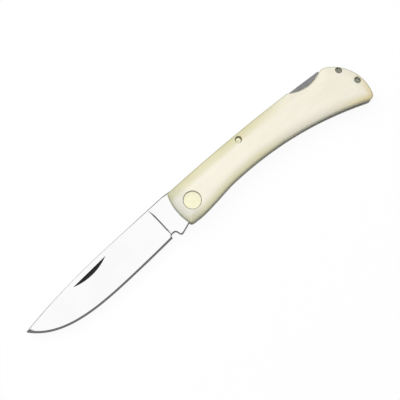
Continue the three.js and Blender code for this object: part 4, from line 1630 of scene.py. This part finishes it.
class KNIFE_OT_back_spring(Operator):
    """Builds the back spring"""

    bl_idname = "knife.build_back_spring"
    bl_label = "Back spring"

    def execute(self, context):
        s = spring_sizes()
        holes = [(pin, handle_sizes().pin_hole) for pin in small_pins()[1:]]
        loop = evened_loop(back_spring_loop(), PLATE_SPACING)
        looks = satin_finish()
        piece = plate_shell("back_spring_leaf", "back_spring", loop, holes, looks, None)
        root = (bar_tail_x() + s.lock_gap) * MM
        tip = (bar_tail_x() - s.tongue_length) * MM
        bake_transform(piece)
        return {"FINISHED"}


class KNIFE_OT_pivot(Operator):
    """Builds the pivot pin and its two brass heads"""

    bl_idname = "knife.build_pivot"
    bl_label = "Pivot"

    def execute(self, context):
        for name, node, facing in (
            ("pivot_cap_front", "front_pivot_head", 1),
            ("pivot_cap_rear", "rear_pivot_head", -1),
        ):
            low, high = levels(node)
            turned_shell(name, node, pivot_head_profile(low, high, facing), brass_finish())
        low, high = levels("pivot_pin")
        p = pin_sizes()
        below = reversed(quarter(p.pin_end_radius, low, p.pin_end_round, -1, 3))
        above = quarter(p.pin_end_radius, high, p.pin_end_round, 1, 3)
        profile = [(0, low), *below, *above, (0, high)]
        turned_shell("pivot_axle", "pivot_pin", profile, pin_finish(), SMALL_STEPS)
        return {"FINISHED"}


class KNIFE_OT_cross_pins(Operator):
    """Builds the rocker pin and the two butt pins"""

    bl_idname = "knife.build_cross_pins"
    bl_label = "Cross pins"

    def execute(self, context):
        for name, node, material, slot in (
            ("rocker_pin_peened", "rocker_pin", brass_finish(), "pale_brass"),
            ("butt_pin_upper_peened", "butt_pin_upper", pin_finish(), "pin_steel"),
            ("butt_pin_lower_peened", "butt_pin_lower", pin_finish(), "pin_steel"),
        ):
            turned_shell(name, node, small_pin_profile(node), material, SMALL_STEPS)
        return {"FINISHED"}


class KNIFE_OT_stage(Operator):
    """Builds the floor, the light and the camera"""

    bl_idname = "knife.build_stage"
    bl_label = "Stage"

    def execute(self, context):
        stage = context.scene.knife_stage
        build_floor(stage)
        build_world(context.scene, stage)
        build_lamp(stage)
        build_camera(context.scene, stage)
        context.scene.view_settings.view_transform = "Standard"
        return {"FINISHED"}


# Stage


def build_floor(stage):
    """A pale floor: white to the camera apart from the knife's soft shadow."""
    half = stage.floor_size / 2
    mesh = bpy.data.meshes.new("floor")
    corners = [(-half, -half, 0), (half, -half, 0), (half, half, 0), (-half, half, 0)]
    mesh.from_pydata(corners, [], [(0, 1, 2, 3)])
    material = bpy.data.materials.new("Pale floor")
    material.use_nodes = True
    net = Net(material.node_tree)
    net.tree.nodes.clear()
    path = net.add("ShaderNodeLightPath").outputs
    light = stage.floor_light
    white = net.add("ShaderNodeEmission", {"Color": (1, 1, 1), "Strength": light})
    shaded = net.add("ShaderNodeBsdfDiffuse", {"Color": (1 - light, 1 - light, 1 - light)})
    shown = net.add("ShaderNodeAddShader", {0: white.outputs[0], 1: shaded.outputs[0]})
    dim, pale = stage.floor_dark, stage.floor_mirrored
    tone = net.mix(net.in_mirrors(path), (dim, dim, dim), (pale, pale, pale))
    returned = net.add("ShaderNodeBsdfDiffuse", {"Color": tone})
    sides = {"Fac": path["Is Camera Ray"], 1: returned.outputs[0], 2: shown.outputs[0]}
    final = net.add("ShaderNodeMixShader", sides)
    net.add("ShaderNodeOutputMaterial", {"Surface": final.outputs[0]})
    mesh.materials.append(material)
    floor = bpy.data.objects.new("floor", mesh)
    bpy.context.scene.collection.objects.link(floor)


def build_world(scene, stage):
    """White to the camera; to polished metal a white room with a dark band; else an even grey."""
    world = bpy.data.worlds.new("Studio")
    world.use_nodes = True
    scene.world = world
    net = Net(world.node_tree)
    net.tree.nodes.clear()
    direction = net.add("ShaderNodeTexCoord").outputs["Generated"]
    height = net.add("ShaderNodeSeparateXYZ", {"Vector": direction}).outputs["Z"]
    top_soft, foot_soft = stage.band_top_soft, stage.band_foot_soft
    top = net.band(height, math.cos(stage.band_top + top_soft), math.cos(stage.band_top - top_soft))
    side = net.band(height, math.cos(stage.band_foot - foot_soft), math.cos(stage.band_foot + foot_soft))
    bright = net.math("MAXIMUM", top, side)
    band = stage.band_level
    mirrored = net.mix(bright, (band, band, band), (1, 1, 1))
    low, high = stage.sky_low, stage.sky_level
    even = net.mix(net.band(height, 0.0, 0.8), (low, low, low), (high, high, high))
    path = net.add("ShaderNodeLightPath").outputs
    lit = net.mix(net.in_mirrors(path), even, mirrored)
    shown = net.mix(path["Is Camera Ray"], lit, (1, 1, 1))
    background = net.add("ShaderNodeBackground", {"Color": shown, "Strength": 1.0})
    net.add("ShaderNodeOutputWorld", {"Surface": background.outputs[0]})


def build_lamp(stage):
    data = bpy.data.lights.new("overhead_lamp", "AREA")
    data.shape = "SQUARE"
    data.size = stage.lamp_size
    data.energy = stage.lamp_power
    lamp = bpy.data.objects.new("overhead_lamp", data)
    bpy.context.scene.collection.objects.link(lamp)
    lamp.location = stage.lamp_place
    aim = Vector(stage.camera_target) - lamp.location
    lamp.rotation_mode = "QUATERNION"
    lamp.rotation_quaternion = aim.to_track_quat("-Z", "Y")
    lamp.visible_glossy = False
    lamp.visible_camera = False


def build_camera(scene, stage):
    data = bpy.data.cameras.new("camera")
    data.lens = stage.lens
    data.sensor_width = 36.0
    data.clip_start = 0.01
    data.clip_end = 10.0
    camera = bpy.data.objects.new("camera", data)
    scene.collection.objects.link(camera)
    place = Vector(stage.camera_place)
    back = (place - Vector(stage.camera_target)).normalized()
    turn = stage.camera_turn
    right = Vector((math.cos(turn), math.sin(turn), 0))
    right = (right - back * right.dot(back)).normalized()
    up = back.cross(right)
    axes = Matrix((right, up, back)).transposed().to_4x4()
    camera.matrix_world = Matrix.Translation(place) @ axes
    scene.camera = camera


# Panel and registration


class KNIFE_PT_pieces(Panel):
    """Lists the knife's builders and settings"""

    bl_label = "Pocket knife"
    bl_idname = "KNIFE_PT_pieces"
    bl_space_type = "VIEW_3D"
    bl_region_type = "UI"
    bl_category = "Pocket knife"

    def draw(self, context):
        column = self.layout.column(align=True)
        for operator in BUILDERS:
            column.operator(operator.bl_idname)
        for key in SETTINGS:
            group = getattr(context.scene, key)
            box = self.layout.box()
            for name in group.__annotations__:
                box.prop(group, name)


SETTINGS = {
    "knife_handle": HandleSizes,
    "knife_blade": BladeSizes,
    "knife_spring": SpringSizes,
    "knife_pins": PinSizes,
    "knife_finishes": Finishes,
    "knife_stage": StageSettings,
}
BUILDERS = (
    KNIFE_OT_scales,
    KNIFE_OT_liners,
    KNIFE_OT_blade,
    KNIFE_OT_lock_bar,
    KNIFE_OT_back_spring,
    KNIFE_OT_pivot,
    KNIFE_OT_cross_pins,
    KNIFE_OT_stage,
)


def register():
    for group in SETTINGS.values():
        bpy.utils.register_class(group)
    for kind in (*BUILDERS, KNIFE_PT_pieces):
        bpy.utils.register_class(kind)
    for key, group in SETTINGS.items():
        setattr(bpy.types.Scene, key, PointerProperty(type=group))


def unregister():
    for key in SETTINGS:
        delattr(bpy.types.Scene, key)
    for kind in (KNIFE_PT_pieces, *reversed(BUILDERS)):
        bpy.utils.unregister_class(kind)
    for group in reversed(SETTINGS.values()):
        bpy.utils.unregister_class(group)


def main():
    register()
    bpy.ops.knife.build_scales()
    bpy.ops.knife.build_liners()
    bpy.ops.knife.build_blade()
    bpy.ops.knife.build_lock_bar()
    bpy.ops.knife.build_back_spring()
    bpy.ops.knife.build_pivot()
    bpy.ops.knife.build_cross_pins()
    bpy.ops.knife.build_stage()


if __name__ == "__main__":
    main()
